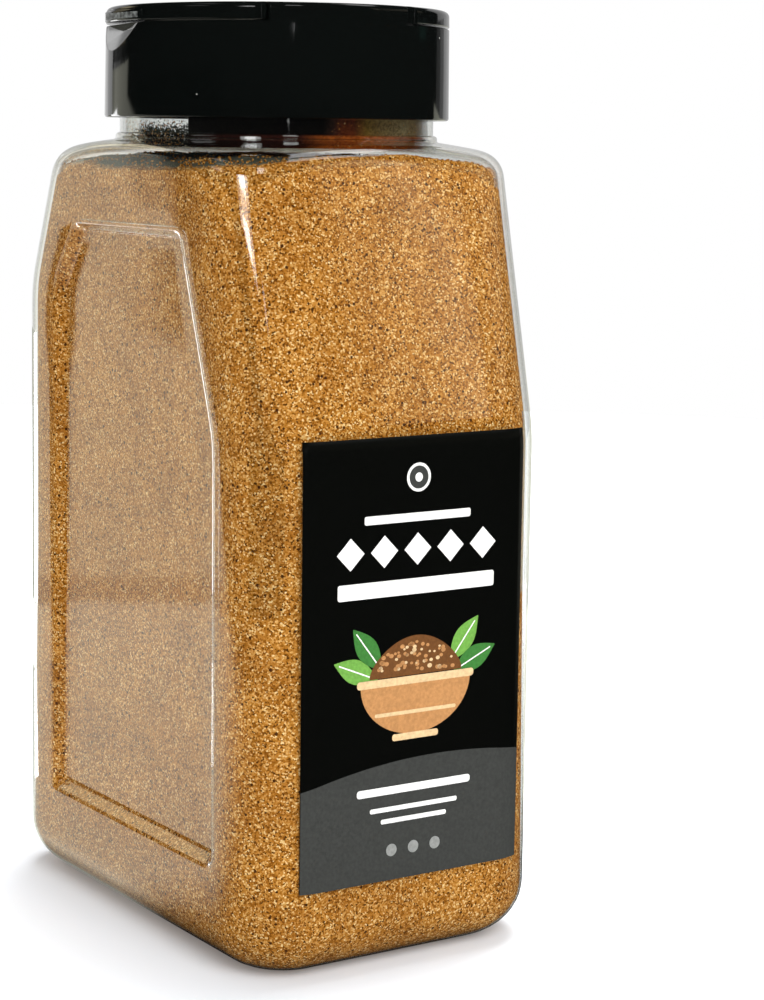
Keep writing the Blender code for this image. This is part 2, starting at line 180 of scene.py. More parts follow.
# Cap.
CAP_RADIUS = 34.0
CAP_TOP_RADIUS = 33.7
CAP_BOTTOM_Z = 159.2
CAP_TOP_Z = 180.3
CAP_INNER_RADIUS = 31.3
CAP_RIM_ROUNDING = 1.1
CAP_RIM_STEPS = 8
CAP_DOME = 0.35
CAP_TURN = math.radians(-6.0)
CAP_STEPS = 192
DECK_Z = 176.9
DECK_THICKNESS = 1.4
BAR_LEFT = -16.1
BAR_RIGHT = 11.6
TAB_HALF_WIDTH = 9.0
TAB_HEIGHT = 2.1
TAB_STAND_OUT = 0.45
TAB_CHAMFER = 0.3
TAB_BORDER = 0.5
PAD_HALF_WIDTH = TAB_HALF_WIDTH - 1.1
SCOOP_SIDE = math.radians(7.0)
SCOOP_TILT = math.radians(22.0)
SCOOP_BOTTOM_Z = 171.3
HINGE_NOTCH_RADIUS = 1.6
GAP = 0.3
POLYPROPYLENE_IOR = 1.49

# Studio. The table's glow is laid out from the jar's foot. A card's azimuths are 0 at +Y and grow
# towards +X, its heights are angles seen from EYE_Z, and CARD_STEP is the angle between its corners.
FLOOR_RADIUS = 900
FOOT_HALF_WIDTH = 32
FOOT_HALF_DEPTH = 48
CARD_DISTANCE = 1500
CARD_STEP = 4
EYE_Z = 150
# Where the front edge of the recess on the left meets the table, in plan.
RECESS_EDGE = (-34.0, -33.0)
WARM_WALL = "#fff0c8"
# Rows of cards: name, heights, (azimuth of an edge, strength of the card after it), and colour where
# it isn't white.
CARD_ROWS = (
    ("sweep_low", (-6, 5.3), ((-6.5, 0.75), (5, 1.0), (22, 0.65), (66, 0.28), (74, 0.12), (81, 0.0))),
    ("sweep_high", (5.3, 29), ((-6.5, 0.64), (30, 0.64), (79, 0.0))),
    ("sweep_shade", (1.2, 2.5), ((-30, 0.05), (-24, 0.12), (-20, 0.28), (-12, 0.36), (-8.5, 0.0))),
    ("sweep_shade_high", (2.5, 5.3), ((-28, 0.03), (-22, 0.08), (-14, 0.12), (-9, 0.0))),
    ("low_wall", (20, 30), ((-26, 1.4), (-9, 0.0)), WARM_WALL),
    ("low_wall_foot", (5.3, 20), ((-26, 0.4), (-9, 0.0)), WARM_WALL),
    ("side_glow", (10, 30), (
        (146.2, 0.10), (145.4, 0.24), (144.4, 0.35), (143.5, 0.56), (142.9, 0.74), (142.3, 0.56),
        (141.7, 0.3), (141.0, 0.14), (137.0, 0.25), (100.0, 0.0),
    ), "#fff3da"),
    ("far_strip_lamp", (15.6, 16.9), ((-146, 1.6), (-143.6, 0.0))),
    ("small_lamp", (2.9, 5.2), ((-157.8, 2.6), (-156.6, 0.0))),
    ("small_lamp_foot", (0.6, 2.9), ((-157.8, 0.8), (-156.8, 0.0))),
    ("bar_lamp", (38, 50), ((-166, 3.0), (-154, 0.0))),
    ("flap_lamp", (27, 37), ((-97, 0.7), (-80, 0.0))),
    ("green_wall", (2.4, 5.4), ((97, 0.3), (105, 0.0)), "#5f8f83"),
    ("back_lamp", (33, 40), ((29, 4.0), (38, 0.0))),
    ("sky_lamp", (55, 66), ((60, 2.2), (120, 0.0))),
    ("sky_lamp_left", (57, 66), ((-82, 0.6), (-52, 0.0))),
)
# The strip lamp has the same cards at three heights: (name, heights, share of their strength).
STRIP_LAMP = ((-137.0, 2.4), (-133.2, 7.0), (-125.2, 2.4), (-122.0, 0.0))
STRIP_LAMP_PARTS = (("low", (15.7, 17.0), 1.2), ("middle", (17.0, 19.2), 0.42), ("high", (19.2, 27), 1.0))

# Camera, from the photograph's perspective.
CAMERA_PLACE = (-252.47, -403.07, 156.04)
CAMERA_YAW = math.radians(32.162)
CAMERA_PITCH = math.radians(8.745)
CAMERA_ROLL = math.radians(0.716)
CAMERA_LENS = 85.32
CAMERA_SHIFT = 0.106


# ---------------------------------------------------------------- materials


def ink(text):
    """A colour given as sRGB hex, as Blender's linear values."""
    values = []
    for start in (1, 3, 5):
        part = int(text[start:start + 2], 16) / 255
        values.append(part / 12.92 if part <= 0.04045 else ((part + 0.055) / 1.055) ** 2.4)
    return (*values, 1.0)


def add_node(tree, kind, inputs=None, stops=None, **settings):
    """Adds a node with its settings, its inputs and a ramp's stops.

    An input is a value, a socket, or a node whose first output is linked.
    """
    made = tree.nodes.new("ShaderNode" + kind)
    for name, value in settings.items():
        setattr(made, name, value)
    for name, value in (inputs or {}).items():
        if isinstance(value, bpy.types.Node):
            value = value.outputs[0]
        if isinstance(value, bpy.types.NodeSocket):
            tree.links.new(value, made.inputs[name])
        else:
            made.inputs[name].default_value = value
    if stops:
        points = made.color_ramp.elements
        while len(points) < len(stops):
            points.new(0.5)
        for point, (place, colour) in zip(points, stops):
            point.position = place
            point.color = ink(colour)
    return made


def new_material(name):
    """An empty material, and add_node for its own nodes."""
    made = bpy.data.materials.new(name)
    made.use_nodes = True
    made.node_tree.nodes.clear()
    return made, partial(add_node, made.node_tree)


def finish_material(made, surface):
    """The material with its surface joined to its output."""
    add_node(made.node_tree, "OutputMaterial", {"Surface": surface})
    return made


def clear_blown_pet():
    """Clear PET, blown: glassy, slightly wavy, and brighter the flatter it is looked along.

    The mirror share is that of a wall's two faces together, about 0.1 seen straight on. The eye sees
    a pale veil on the side wall and soft grey rims where the wall turns away.
    """
    made, add = new_material("clear_blown_pet")
    place = add("TexCoord").outputs["Object"]
    waves = add("TexNoise", {"Vector": place, "Scale": 1 / (22 * MM), "Detail": 1.0})
    bump = add("Bump", {"Strength": 0.12, "Distance": 0.6 * MM, "Height": waves})
    facing = add("LayerWeight", {"Blend": 0.5, "Normal": bump}).outputs["Facing"]
    grazing = add("Math", {0: facing, 1: 4.0}, operation="POWER")
    share = add("Math", {0: grazing, 1: 0.9, 2: 0.1}, operation="MULTIPLY_ADD", use_clamp=True)
    rim = add("ValToRGB", {0: facing}, stops=((0.62, "#fbfcfb"), (0.95, "#c9cbc4")))
    clear = add("BsdfTransparent", {"Color": rim})
    shine = add("BsdfPrincipled", {
        "Base Color": ink("#ffffff"), "Metallic": 1.0, "Roughness": 0.035, "Normal": bump,
    })
    return finish_material(made, add("MixShader", {0: share, 1: clear, 2: shine}))


def ground_nutmeg_powder():
    """Nutmeg ground to a third of a millimetre: the eye sees tan and orange-brown grains and dark bits."""
    made, add = new_material("ground_nutmeg_powder")
    place = add("TexCoord").outputs["Object"]
    # The grains are 0.1 to 0.3 mm; they are drawn at 0.3 mm, so that they show.
    grains = add("TexVoronoi", {"Vector": place, "Scale": 1 / (0.3 * MM), "Randomness": 1.0})
    pick = add("SeparateColor", {0: grains.outputs["Color"]})
    tint = add("ValToRGB", {0: pick}, stops=(
        (0.0, "#472402"), (0.10, "#7c4604"), (0.35, "#a76a1a"), (0.65, "#c18334"), (0.88, "#daa961"),
        (1.0, "#f6d9a0"),
    ))
    # Bits of shell and skin, up to 0.6 mm across, in about every eighth cell of 1 mm.
    specks = add("TexVoronoi", {"Vector": place, "Scale": 1 / (1.0 * MM), "Randomness": 1.0})
    speck_pick = add("SeparateColor", {0: specks.outputs["Color"]})
    few = add("Math", {0: speck_pick.outputs[1], 1: 0.12}, operation="LESS_THAN")
    small = add("Math", {0: specks, 1: 0.30}, operation="LESS_THAN")
    speck = add("Math", {0: few, 1: small}, operation="MULTIPLY")
    speckled = add("Mix", {0: speck, 6: tint, 7: ink("#4a2606")}, data_type="RGBA").outputs[2]
    # Slow clouds, where the powder settled a little finer or coarser.
    clouds = add("TexNoise", {"Vector": place, "Scale": 1 / (9 * MM), "Detail": 3.0})
    cloud_tint = add("ValToRGB", {0: clouds}, stops=((0.3, "#e4ddd2"), (0.7, "#ffffff")))
    clouded = {0: 1.0, 6: speckled, 7: cloud_tint}
    colour = add("Mix", clouded, data_type="RGBA", blend_type="MULTIPLY").outputs[2]
    # Away from the wall the top is dull and grey on the left, under the cap: this is painted shade, where
    # the cap shades the top.
    from_wall = add("Attribute", attribute_name="from_wall").outputs["Fac"]
    across = add("SeparateXYZ", {0: place})
    on_top = add("MapRange", {0: from_wall, 1: 0.02, 2: 0.06, 3: 0.0, 4: 1.0})
    on_left = add("MapRange", {0: across, 1: -14 * MM, 2: -3 * MM, 3: 1.0, 4: 0.0})
    painted_shade_share = add("Math", {0: on_top, 1: on_left}, operation="MULTIPLY")
    dull = add("Mix", {0: painted_shade_share, 6: colour, 7: ink("#4d4e42")}, data_type="RGBA").outputs[2]
    relief = add("Bump", {"Strength": 0.5, "Distance": 0.2 * MM, "Height": grains})
    return finish_material(made, add("BsdfPrincipled", {
        "Base Color": dull, "Roughness": 0.9, "Specular IOR Level": 0.2, "Normal": relief,
    }))


def printed_film(name, colour, roughness=0.4):
    """Printed polypropylene label film: an even ink layer under a satin coat, with a faint grain."""
    made, add = new_material(name)
    place = add("TexCoord").outputs["Object"]
    grain = add("TexNoise", {"Vector": place, "Scale": 1 / (0.6 * MM), "Detail": 2.0})
    shade = add("ValToRGB", {0: grain}, stops=((0.3, "#e2e2e2"), (0.7, "#ffffff")))
    shaded = {0: 1.0, 6: ink(colour), 7: shade}
    tone = add("Mix", shaded, data_type="RGBA", blend_type="MULTIPLY").outputs[2]
    gloss = add("MapRange", {0: grain, 3: roughness - 0.05, 4: roughness + 0.05})
    relief = add("Bump", {"Strength": 0.15, "Distance": 0.03 * MM, "Height": grain})
    return finish_material(made, add("BsdfPrincipled", {
        "Base Color": tone, "Roughness": gloss, "Specular IOR Level": 0.15, "Normal": relief,
    }))


def black_moulded_polypropylene():
    """Black polypropylene, injection moulded: near-mirror gloss, faint sink waves and a little dust."""
    made, add = new_material("black_moulded_polypropylene")
    place = add("TexCoord").outputs["Object"]
    waves = add("TexNoise", {"Vector": place, "Scale": 1 / (7 * MM), "Detail": 1.0})
    bump = add("Bump", {"Strength": 0.08, "Distance": 0.2 * MM, "Height": waves})
    dust = add("TexVoronoi", {"Vector": place, "Scale": 1 / (3.2 * MM)})
    dust_pick = add("SeparateColor", {0: dust.outputs["Color"]})
    few = add("Math", {0: dust_pick, 1: 0.05}, operation="LESS_THAN")
    tiny = add("Math", {0: dust, 1: 0.055}, operation="LESS_THAN")
    speck = add("Math", {0: few, 1: tiny}, operation="MULTIPLY")
    colour = add("Mix", {0: speck, 6: ink("#070908"), 7: ink("#b9b9b2")}, data_type="RGBA").outputs[2]
    haze = add("TexNoise", {"Vector": place, "Scale": 1 / (2.5 * MM), "Detail": 4.0})
    gloss = add("MapRange", {0: haze, 3: 0.05, 4: 0.1})
    return finish_material(made, add("BsdfPrincipled", {
        "Base Color": colour, "Roughness": gloss, "IOR": POLYPROPYLENE_IOR, "Normal": bump,
    }))


def grained_black_polypropylene():
    """The same black polypropylene, moulded against a sparked mould: a dull, mottled grip on the tabs."""
    made, add = new_material("grained_black_polypropylene")
    place = add("TexCoord").outputs["Object"]
    grain = add("TexNoise", {"Vector": place, "Scale": 1 / (0.8 * MM), "Detail": 3.0})
    gloss = add("MapRange", {0: grain, 3: 0.3, 4: 0.6})
    colour = add("ValToRGB", {0: grain}, stops=((0.38, "#242625"), (0.62, "#727572")))
    relief = add("Bump", {"Strength": 0.6, "Distance": 0.08 * MM, "Height": grain})
    return finish_material(made, add("BsdfPrincipled", {
        "Base Color": colour, "Roughness": gloss, "IOR": POLYPROPYLENE_IOR, "Normal": relief,
    }))


def caked_dust_and_painted_shade():
    """Fine nutmeg dust caked inside the neck, with painted shade: near black in the middle under the cap,
    red-brown and olive to the right.
    """
    made, add = new_material("caked_dust_and_painted_shade")
    place = add("TexCoord").outputs["Object"]
    parts = add("SeparateXYZ", {0: place})
    ahead = add("Math", {0: parts.outputs[1], 1: -1.0}, operation="MULTIPLY")
    angle = add("Math", {0: parts, 1: ahead}, operation="ARCTAN2")
    round_share = add("MapRange", {
        0: angle, 1: math.radians(NECK_SHEET_FIRST), 2: math.radians(NECK_SHEET_LAST), 3: 0.0, 4: 1.0,
    })
    # The near-black stops are painted shade under the cap; the red-brown, orange and olive ones are the
    # dust's own colour.
    high_tint = add("ValToRGB", {0: round_share}, stops=(
        (0.30, "#3a3c30"), (0.325, "#12110e"), (0.595, "#0b0806"), (0.616, "#3d261d"), (0.635, "#642d13"),
        (0.66, "#642d13"), (0.69, "#755b26"), (0.765, "#8e7c56"), (0.81, "#9d8962"),
    ))
    low_tint = add("ValToRGB", {0: round_share}, stops=(
        (0.30, "#14130c"), (0.36, "#30150f"), (0.55, "#4a2016"), (0.60, "#b05a20"), (0.72, "#bc5d1e"),
        (0.78, "#a14d19"),
    ))
    height = parts.outputs[2]
    raised = add("MapRange", {0: height, 1: 155.9 * MM, 2: 156.3 * MM, 3: 0.0, 4: 1.0})
    tint = add("Mix", {0: raised, 6: low_tint, 7: high_tint}, data_type="RGBA").outputs[2]
    grains = add("TexVoronoi", {"Vector": place, "Scale": 1 / (0.35 * MM)})
    pick = add("SeparateColor", {0: grains.outputs["Color"]})
    speckle = add("ValToRGB", {0: pick}, stops=((0.0, "#b4b4b4"), (0.85, "#f4f4f4"), (1.0, "#ffffff")))
    speckled = {0: 1.0, 6: tint, 7: speckle}
    colour = add("Mix", speckled, data_type="RGBA", blend_type="MULTIPLY").outputs[2]
    dust = add("BsdfPrincipled", {"Base Color": colour, "Roughness": 0.9, "Specular IOR Level": 0.1})
    # The sheet of dust and painted shade thins out towards both ends, and on the left also upwards.
    patches = add("TexNoise", {"Vector": place, "Scale": 1 / (0.3 * MM), "Detail": 3.0})
    cover = add("ValToRGB", {0: round_share}, stops=(
        (0.0, "#000000"), (0.10, "#bcbcbc"), (0.20, "#ffffff"), (0.86, "#ffffff"), (0.90, "#c0c0c0"),
        (0.96, "#a8a8a8"), (1.0, "#000000"),
    ))
    caked = add("Math", {0: round_share, 1: NECK_SHEET_EDGE_SHARE}, operation="GREATER_THAN")
    thin = add("MapRange", {0: height, 1: 156.6 * MM, 2: 158.6 * MM, 3: 0.6, 4: 0.36})
    spread = add("Math", {0: caked, 1: thin}, operation="MAXIMUM")
    share = add("Math", {0: spread, 1: cover}, operation="MULTIPLY")
    over = add("Math", {0: patches, 1: share}, operation="LESS_THAN")
    return finish_material(made, add("MixShader", {0: over, 1: add("BsdfTransparent"), 2: dust}))


def add_foot_distance(add, place):
    """Nodes that give how far a point of the table lies from the jar's foot; it is 0 below the jar."""
    either_side = add("VectorMath", {0: place}, operation="ABSOLUTE")
    foot = (FOOT_HALF_WIDTH * MM, FOOT_HALF_DEPTH * MM, 1.0)
    beyond = add("VectorMath", {0: either_side, 1: foot}, operation="SUBTRACT")
    outside = add("VectorMath", {0: beyond, 1: (0.0, 0.0, 0.0)}, operation="MAXIMUM")
    return add("VectorMath", {0: outside}, operation="LENGTH").outputs[1]


def stage_paper():
    """White paper. By the jar it shows the soft shadow, deepened there by a weaker glow, which is painted
    shadow; farther off it glows more, so that it stays white.
    """
    made, add = new_material("white_seamless_paper")
    away = add_foot_distance(add, add("TexCoord").outputs["Object"])
    # Painted shadow: the glow is weakest at the jar's foot and grows over 60 mm.
    glow = add("MapRange", {0: away, 1: 0.0, 2: 60 * MM, 3: 0.12, 4: 0.5})
    return finish_material(made, add("BsdfPrincipled", {
        "Base Color": ink("#dfe3e8"), "Roughness": 0.9, "Specular IOR Level": 0.1,
        "Emission Color": ink("#ffffff"), "Emission Strength": glow,
    }))


def stage_table_glow():
    """What the jar mirrors of the table: brighter near by, a darker band across, fading out to the left.

    It is darker straight behind the jar and below it, so that the jar's outline stays grey.
    """
    made, add = new_material("table_glow")
    place = add("TexCoord").outputs["Object"]
    parts = add("SeparateXYZ", {0: place})
    across = add("Math", {0: parts.outputs[1], 1: 0.365, 2: parts}, operation="MULTIPLY_ADD")
    edge = add("MapRange", {0: across, 1: -325 * MM, 2: -255 * MM, 3: 0.0, 4: 1.0})
    reach = add("VectorMath", {0: place}, operation="LENGTH").outputs[1]
    ramp = add("ValToRGB", {0: reach}, stops=(
        (0.10, "#e6e6d8"), (0.30, "#f6f6e6"), (0.338, "#f2f2e2"), (0.35, "#b4b4ac"), (0.385, "#b4b4ac"),
        (0.40, "#dcdccc"), (1.0, "#d8d8c8"),
    ))
    angle = add("Math", {0: parts, 1: parts.outputs[1]}, operation="ARCTAN2")
    turn = add("MapRange", {0: angle, 1: -math.pi, 2: math.pi, 3: 0.0, 4: 1.0})
    # The stops stand for -102, -66, -13, -9, 31 and 35 degrees.
    round_jar = add("ValToRGB", {0: turn}, stops=(
        (0.217, "#505050"), (0.317, "#ffffff"), (0.464, "#ffffff"), (0.475, "#bcbcbc"), (0.586, "#bcbcbc"),
        (0.597, "#ffffff"),
    ))
    under = add("MapRange", {0: add_foot_distance(add, place), 1: 0.0, 2: 5 * MM, 3: 0.3, 4: 1.0})
    fade = add("Math", {0: edge, 1: under}, operation="MULTIPLY")
    colour = ramp
    for shade in (round_jar, fade):
        shaded = {0: 1.0, 6: colour, 7: shade}
        colour = add("Mix", shaded, data_type="RGBA", blend_type="MULTIPLY").outputs[2]
    return finish_material(made, add("Emission", {"Color": colour, "Strength": 1.2}))


def stage_glow(name, colour, strength):
    """An even glow for a card."""
    made, add = new_material(name)
    return finish_material(made, add("Emission", {"Color": ink(colour), "Strength": strength}))


# ---------------------------------------------------------------- the wall's shape


def soft(value, blend):
    """max(0, value), with its corner rounded over blend to each side."""
    if value <= -blend:
        return 0.0
    if value >= blend:
        return value
    return (value + blend) ** 2 / (4 * blend)


def bend(z, stops):
    """The value at z on straight runs whose joints are softened."""
    (low, first), (high, second) = stops[0], stops[1]
    slope = (second - first) / (high - low)
    value = first + slope * (z - low)
    for (low, first), (high, second) in zip(stops[1:], stops[2:]):
        after = (second - first) / (high - low)
        value += (after - slope) * soft(z - low, KINK_BLEND)
        slope = after
    return value


def wall_inset(z, inset):
    """How far the wall stands in from the full outline, with the rounding at the base."""
    if z >= BASE_ROUNDING:
        return inset
    drop = BASE_ROUNDING - z
    return BASE_ROUNDING - math.sqrt(max(0.0, (BASE_ROUNDING - inset) ** 2 - drop * drop))


def grip_spread(inset):
    """How far the recess's edges move out on a surface that lies inset behind the wall."""
    return inset * math.tan(0.5 * math.atan2(GRIP_DEPTH, GRIP_SLOPE_RUN))


def grip_ramp(distance, side):
    """0 on the plain wall and 1 on the recess's floor, by the distance past the recess's edge."""
    run, fillet, _ = side
    return (soft(distance, fillet) - soft(distance - run, fillet)) / run


def side_wall(z, inset, depth_front, depth_back, radius):
    """(y, recess share) of the columns on the +X side, from front to back, with the ends left out."""
    spread = grip_spread(inset)
    front = max(bend(z, GRIP_FRONT_EDGE) - spread, radius - depth_front + GRIP_FRONT_CLEAR)
    back = min(bend(z, GRIP_BACK_EDGE) + spread, depth_back - radius - GRIP_BACK_CLEAR)
    low = GRIP_BOTTOM_Z - spread
    high = GRIP_TOP_Z + spread
    level = grip_ramp(z - low, GRIP_LOWER) * grip_ramp(high - z, GRIP_UPPER)
    places = [front + step for step in GRIP_NEAR[2]]
    inner_front = places[-1]
    inner_back = back - GRIP_FAR[2][-1]
    for step in range(1, GRIP_FLOOR_STEPS + 1):
        places.append(inner_front + (inner_back - inner_front) * step / (GRIP_FLOOR_STEPS + 1))
    places += [back - step for step in reversed(GRIP_FAR[2])]
    return [(y, level * grip_ramp(y - front, GRIP_NEAR) * grip_ramp(back - y, GRIP_FAR)) for y in places]


def wall_ring(z, inset=0.0):
    """The wall's outline at one height, anticlockwise from the front right corner."""
    pulled = wall_inset(z, inset)
    width = HALF_WIDTH - pulled
    front = bend(z, FRONT_WALL) - pulled
    back = bend(z, BACK_WALL) - pulled
    radius = CORNER_RADIUS - pulled * 0.75
    side = side_wall(z, inset, front, back, radius)
    corners = ((width, -front, -90), (width, back, 0), (-width, back, 90), (-width, -front, 180))
    ring = []
    for number, (corner_x, corner_y, start) in enumerate(corners):
        centre_x = corner_x - math.copysign(radius, corner_x)
        centre_y = corner_y - math.copysign(radius, corner_y)
        for step in range(CORNER_STEPS + 1):
            angle = math.radians(start + 90 * step / CORNER_STEPS)
            ring.append((centre_x + radius * math.cos(angle), centre_y + radius * math.sin(angle)))
        if number == 0:
            ring += [(width - GRIP_DEPTH * share, y) for y, share in side]
        elif number == 2:
            ring += [(GRIP_DEPTH * share - width, y) for y, share in reversed(side)]
        else:
            reach = width - radius
            direction = -1 if number == 1 else 1
            for step in range(1, FACE_STEPS):
                ring.append((direction * reach * (2 * step / FACE_STEPS - 1), corner_y))
    return [Vector((x, y, z)) for x, y in ring]


def wall_levels(inset):
    """Heights of the rings from the base's rounding to the foot of the shoulder."""
    levels = []
    for step in range(1, BASE_STEPS + 1):
        angle = 0.5 * math.pi * step / BASE_STEPS
        levels.append(BASE_ROUNDING - (BASE_ROUNDING - inset) * math.cos(angle))
    spread = grip_spread(inset)
    low = GRIP_BOTTOM_Z - spread
    high = GRIP_TOP_Z + spread
    levels.append(15.0)
    levels += [low + step for step in GRIP_LOWER[2]]
    levels += [10.0 * step for step in range(3, 10)]
    for kink in (FRONT_KINK_Z, BACK_KINK_Z):
        levels += [kink + KINK_BLEND * share for share in (-1.0, -0.5, 0.0, 0.5, 1.0)]
        levels.append(kink + 2 * KINK_BLEND)
    levels = [z for z in levels if z < high - GRIP_UPPER[2][-1]]
    return levels + [high - step for step in reversed(GRIP_UPPER[2])]


def dome_height(reach, inset):
    """The shoulder's height by the distance from the jar's axis."""
    out = reach + inset - DOME_TOP_RADIUS
    return DOME_TOP_Z - inset - DOME_SLOPE * out - DOME_DROOP * out * out


def edge_rounding(reach):
    """The shoulder's rounding, which grows towards the jar's corners."""
    near, far = CORNER_REACH
    share = max(0.0, min(1.0, (reach - near) / (far - near)))
    return FACE_EDGE_ROUNDING + (CORNER_EDGE_ROUNDING - FACE_EDGE_ROUNDING) * share


def shoulder_columns(inset):
    """Each column's points from the top of the wall, over the rounded edge, to the foot of the neck."""
    levels = {}

    def ring_at(z):
        key = round(z, 5)
        if key not in levels:
            levels[key] = wall_ring(z, inset)
        return levels[key]

    columns = []
    for index, base in enumerate(ring_at(SHOULDER_Z)):
        reach = base.to_2d().length
        crest = dome_height(reach, inset)
        rounding = edge_rounding(reach + inset)
        start = ring_at(crest - rounding)[index]
        corner = ring_at(crest)[index]
        outward = corner.to_2d().normalized()
        end_reach = corner.to_2d().length - rounding
        end = Vector((*(outward * end_reach), dome_height(end_reach, inset)))
        column = []
        for step in range(SHOULDER_STEPS + 1):
            t = step / SHOULDER_STEPS
            column.append(start * (1 - t) ** 2 + corner * (2 * t * (1 - t)) + end * t * t)
        foot = NECK_RADIUS + NECK_BEAD + 0.4 - inset
        for share in (0.35, 0.7, 1.0):
            there = end_reach + (foot - end_reach) * share
            column.append(Vector((*(outward * there), dome_height(there, inset))))
        columns.append(column)
    return columns


# ---------------------------------------------------------------- mesh helpers


def start_ring(mesh, points):
    """A closed ring of corners, made as a circle and moved into place."""
    ring = bmesh.ops.create_circle(mesh, cap_ends=False, segments=len(points), radius=MM)["verts"]
    for vert, point in zip(ring, points):
        vert.co = point * MM
    return list(ring)


def ring_edges(mesh, ring):
    """The edges of a closed ring of corners."""
    return [mesh.edges.get((vert, ring[index - 1])) for index, vert in enumerate(ring)]


def raise_ring(mesh, ring, points):
    """Extrudes the open end of a shell and puts its new corners in place."""
    made = bmesh.ops.extrude_edge_only(mesh, edges=ring_edges(mesh, ring))["geom"]
    fresh = {item for item in made if isinstance(item, bmesh.types.BMVert)}
    upper = []
    for vert, point in zip(ring, points):
        above = next(edge.other_vert(vert) for edge in vert.link_edges if edge.other_vert(vert) in fresh)
        above.co = point * MM
        upper.append(above)
    return upper


def place_object(name, mesh, materials, smooth_angle=30.0):
    """The mesh as an object at the origin, with smooth faces and its sharp edges kept."""
    data = bpy.data.meshes.new(name)
    mesh.to_mesh(data)
    mesh.free()
    for material in materials:
        data.materials.append(material)
    made = bpy.data.objects.new(name, data)
    bpy.context.scene.collection.objects.link(made)
    if smooth_angle:
        data.shade_smooth()
        data.set_sharp_from_angle(angle=math.radians(smooth_angle))
    return made


def add_thickness(made, thickness, offset):
    """Gives a sheet its thickness: outwards at offset 1, inwards at -1 and both ways at 0."""
    wall = made.modifiers.new("thickness", "SOLIDIFY")
    wall.thickness = thickness * MM
    wall.offset = offset


def dress(made, node=None):
    """The piece rides on the jar and may stand for a node."""
    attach(made, "root")
    if node:
        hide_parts(node)


# ---------------------------------------------------------------- jar and fill


def neck_profile(foot_z):
    """(radius, z) up the neck: a rounded bead at its foot, then the plain wall."""
    outer = NECK_RADIUS + NECK_BEAD
    return (
        (outer + 0.1, foot_z + 0.12),
        (outer, foot_z + 0.4),
        (outer, foot_z + 0.8),
        (outer - 0.15, foot_z + 1.1),
        (outer - 0.5, foot_z + 1.3),
        (NECK_RADIUS, foot_z + NECK_BEAD_HEIGHT),
        (NECK_RADIUS, foot_z + 4.0),
        (NECK_RADIUS, 166.0),
        (NECK_RADIUS, NECK_TOP_Z - 0.3),
        (NECK_RADIUS - 0.2, NECK_TOP_Z),
    )


def make_jar():
    """The blown jar: an outer skin from the underside to the neck's mouth, with the wall added inwards."""
    mesh = bmesh.new()
    outline = wall_ring(0.0)
    share_x, share_y = FOOT_RING_SHARE
    inner = [Vector((point.x * share_x, point.y * share_y, FOOT_RING_RISE)) for point in outline]
    ring = start_ring(mesh, inner)
    bmesh.ops.contextual_create(mesh, geom=ring_edges(mesh, ring))
    ring = raise_ring(mesh, ring, outline)
    for z in wall_levels(0.0):
        ring = raise_ring(mesh, ring, wall_ring(z))
    columns = shoulder_columns(0.0)
    for step in range(len(columns[0])):
        ring = raise_ring(mesh, ring, [column[step] for column in columns])
    foot = [column[-1] for column in columns]
    outwards = [point.to_2d().normalized() for point in foot]
    for radius, z in neck_profile(foot[0].z):
        ring = raise_ring(mesh, ring, [Vector((*(outward * radius), z)) for outward in outwards])
    bmesh.ops.recalc_face_normals(mesh, faces=mesh.faces)
    jar = place_object("clear_jar", mesh, [clear_blown_pet()])
    add_thickness(jar, WALL, -1.0)
    dress(jar, "jar")


def fill_line(point):
    """The height of the powder on the wall at a point of the outline."""
    angle = math.degrees(math.atan2(point.x, -point.y))
    for (low, first), (high, second) in zip(FILL_LINE, FILL_LINE[1:]):
        if angle <= high:
            height = first + (second - first) * (angle - low) / (high - low)
            break
    for size, rise, start in LINE_RIPPLES:
        height += noise.noise(Vector((point.x, point.y, start)) / size) * rise
    return height


def skin_point(column, wall_point, z):
    """Where one column of the wall and shoulder passes the height z."""
    if z <= column[0].z:
        return wall_point
    for low, high in zip(column, column[1:]):
        if z <= high.z:
            return low.lerp(high, (z - low.z) / (high.z - low.z))
    return column[-1]


def top_relief(x, y):
    """The uneven top, in three sizes of lump."""
    place = Vector((x, y, 0.0))
    return sum(rise * noise.noise(place / size) for size, rise in TOP_LUMPS)


def fill_inset(z):
    """The powder reaches into the wall, more so at the thick base, where the wall shows no clear edge."""
    low, high = FILL_INSET_RISE
    share = max(0.0, min(1.0, (z - low) / (high - low)))
    return FILL_BASE_INSET + (FILL_INSET - FILL_BASE_INSET) * share


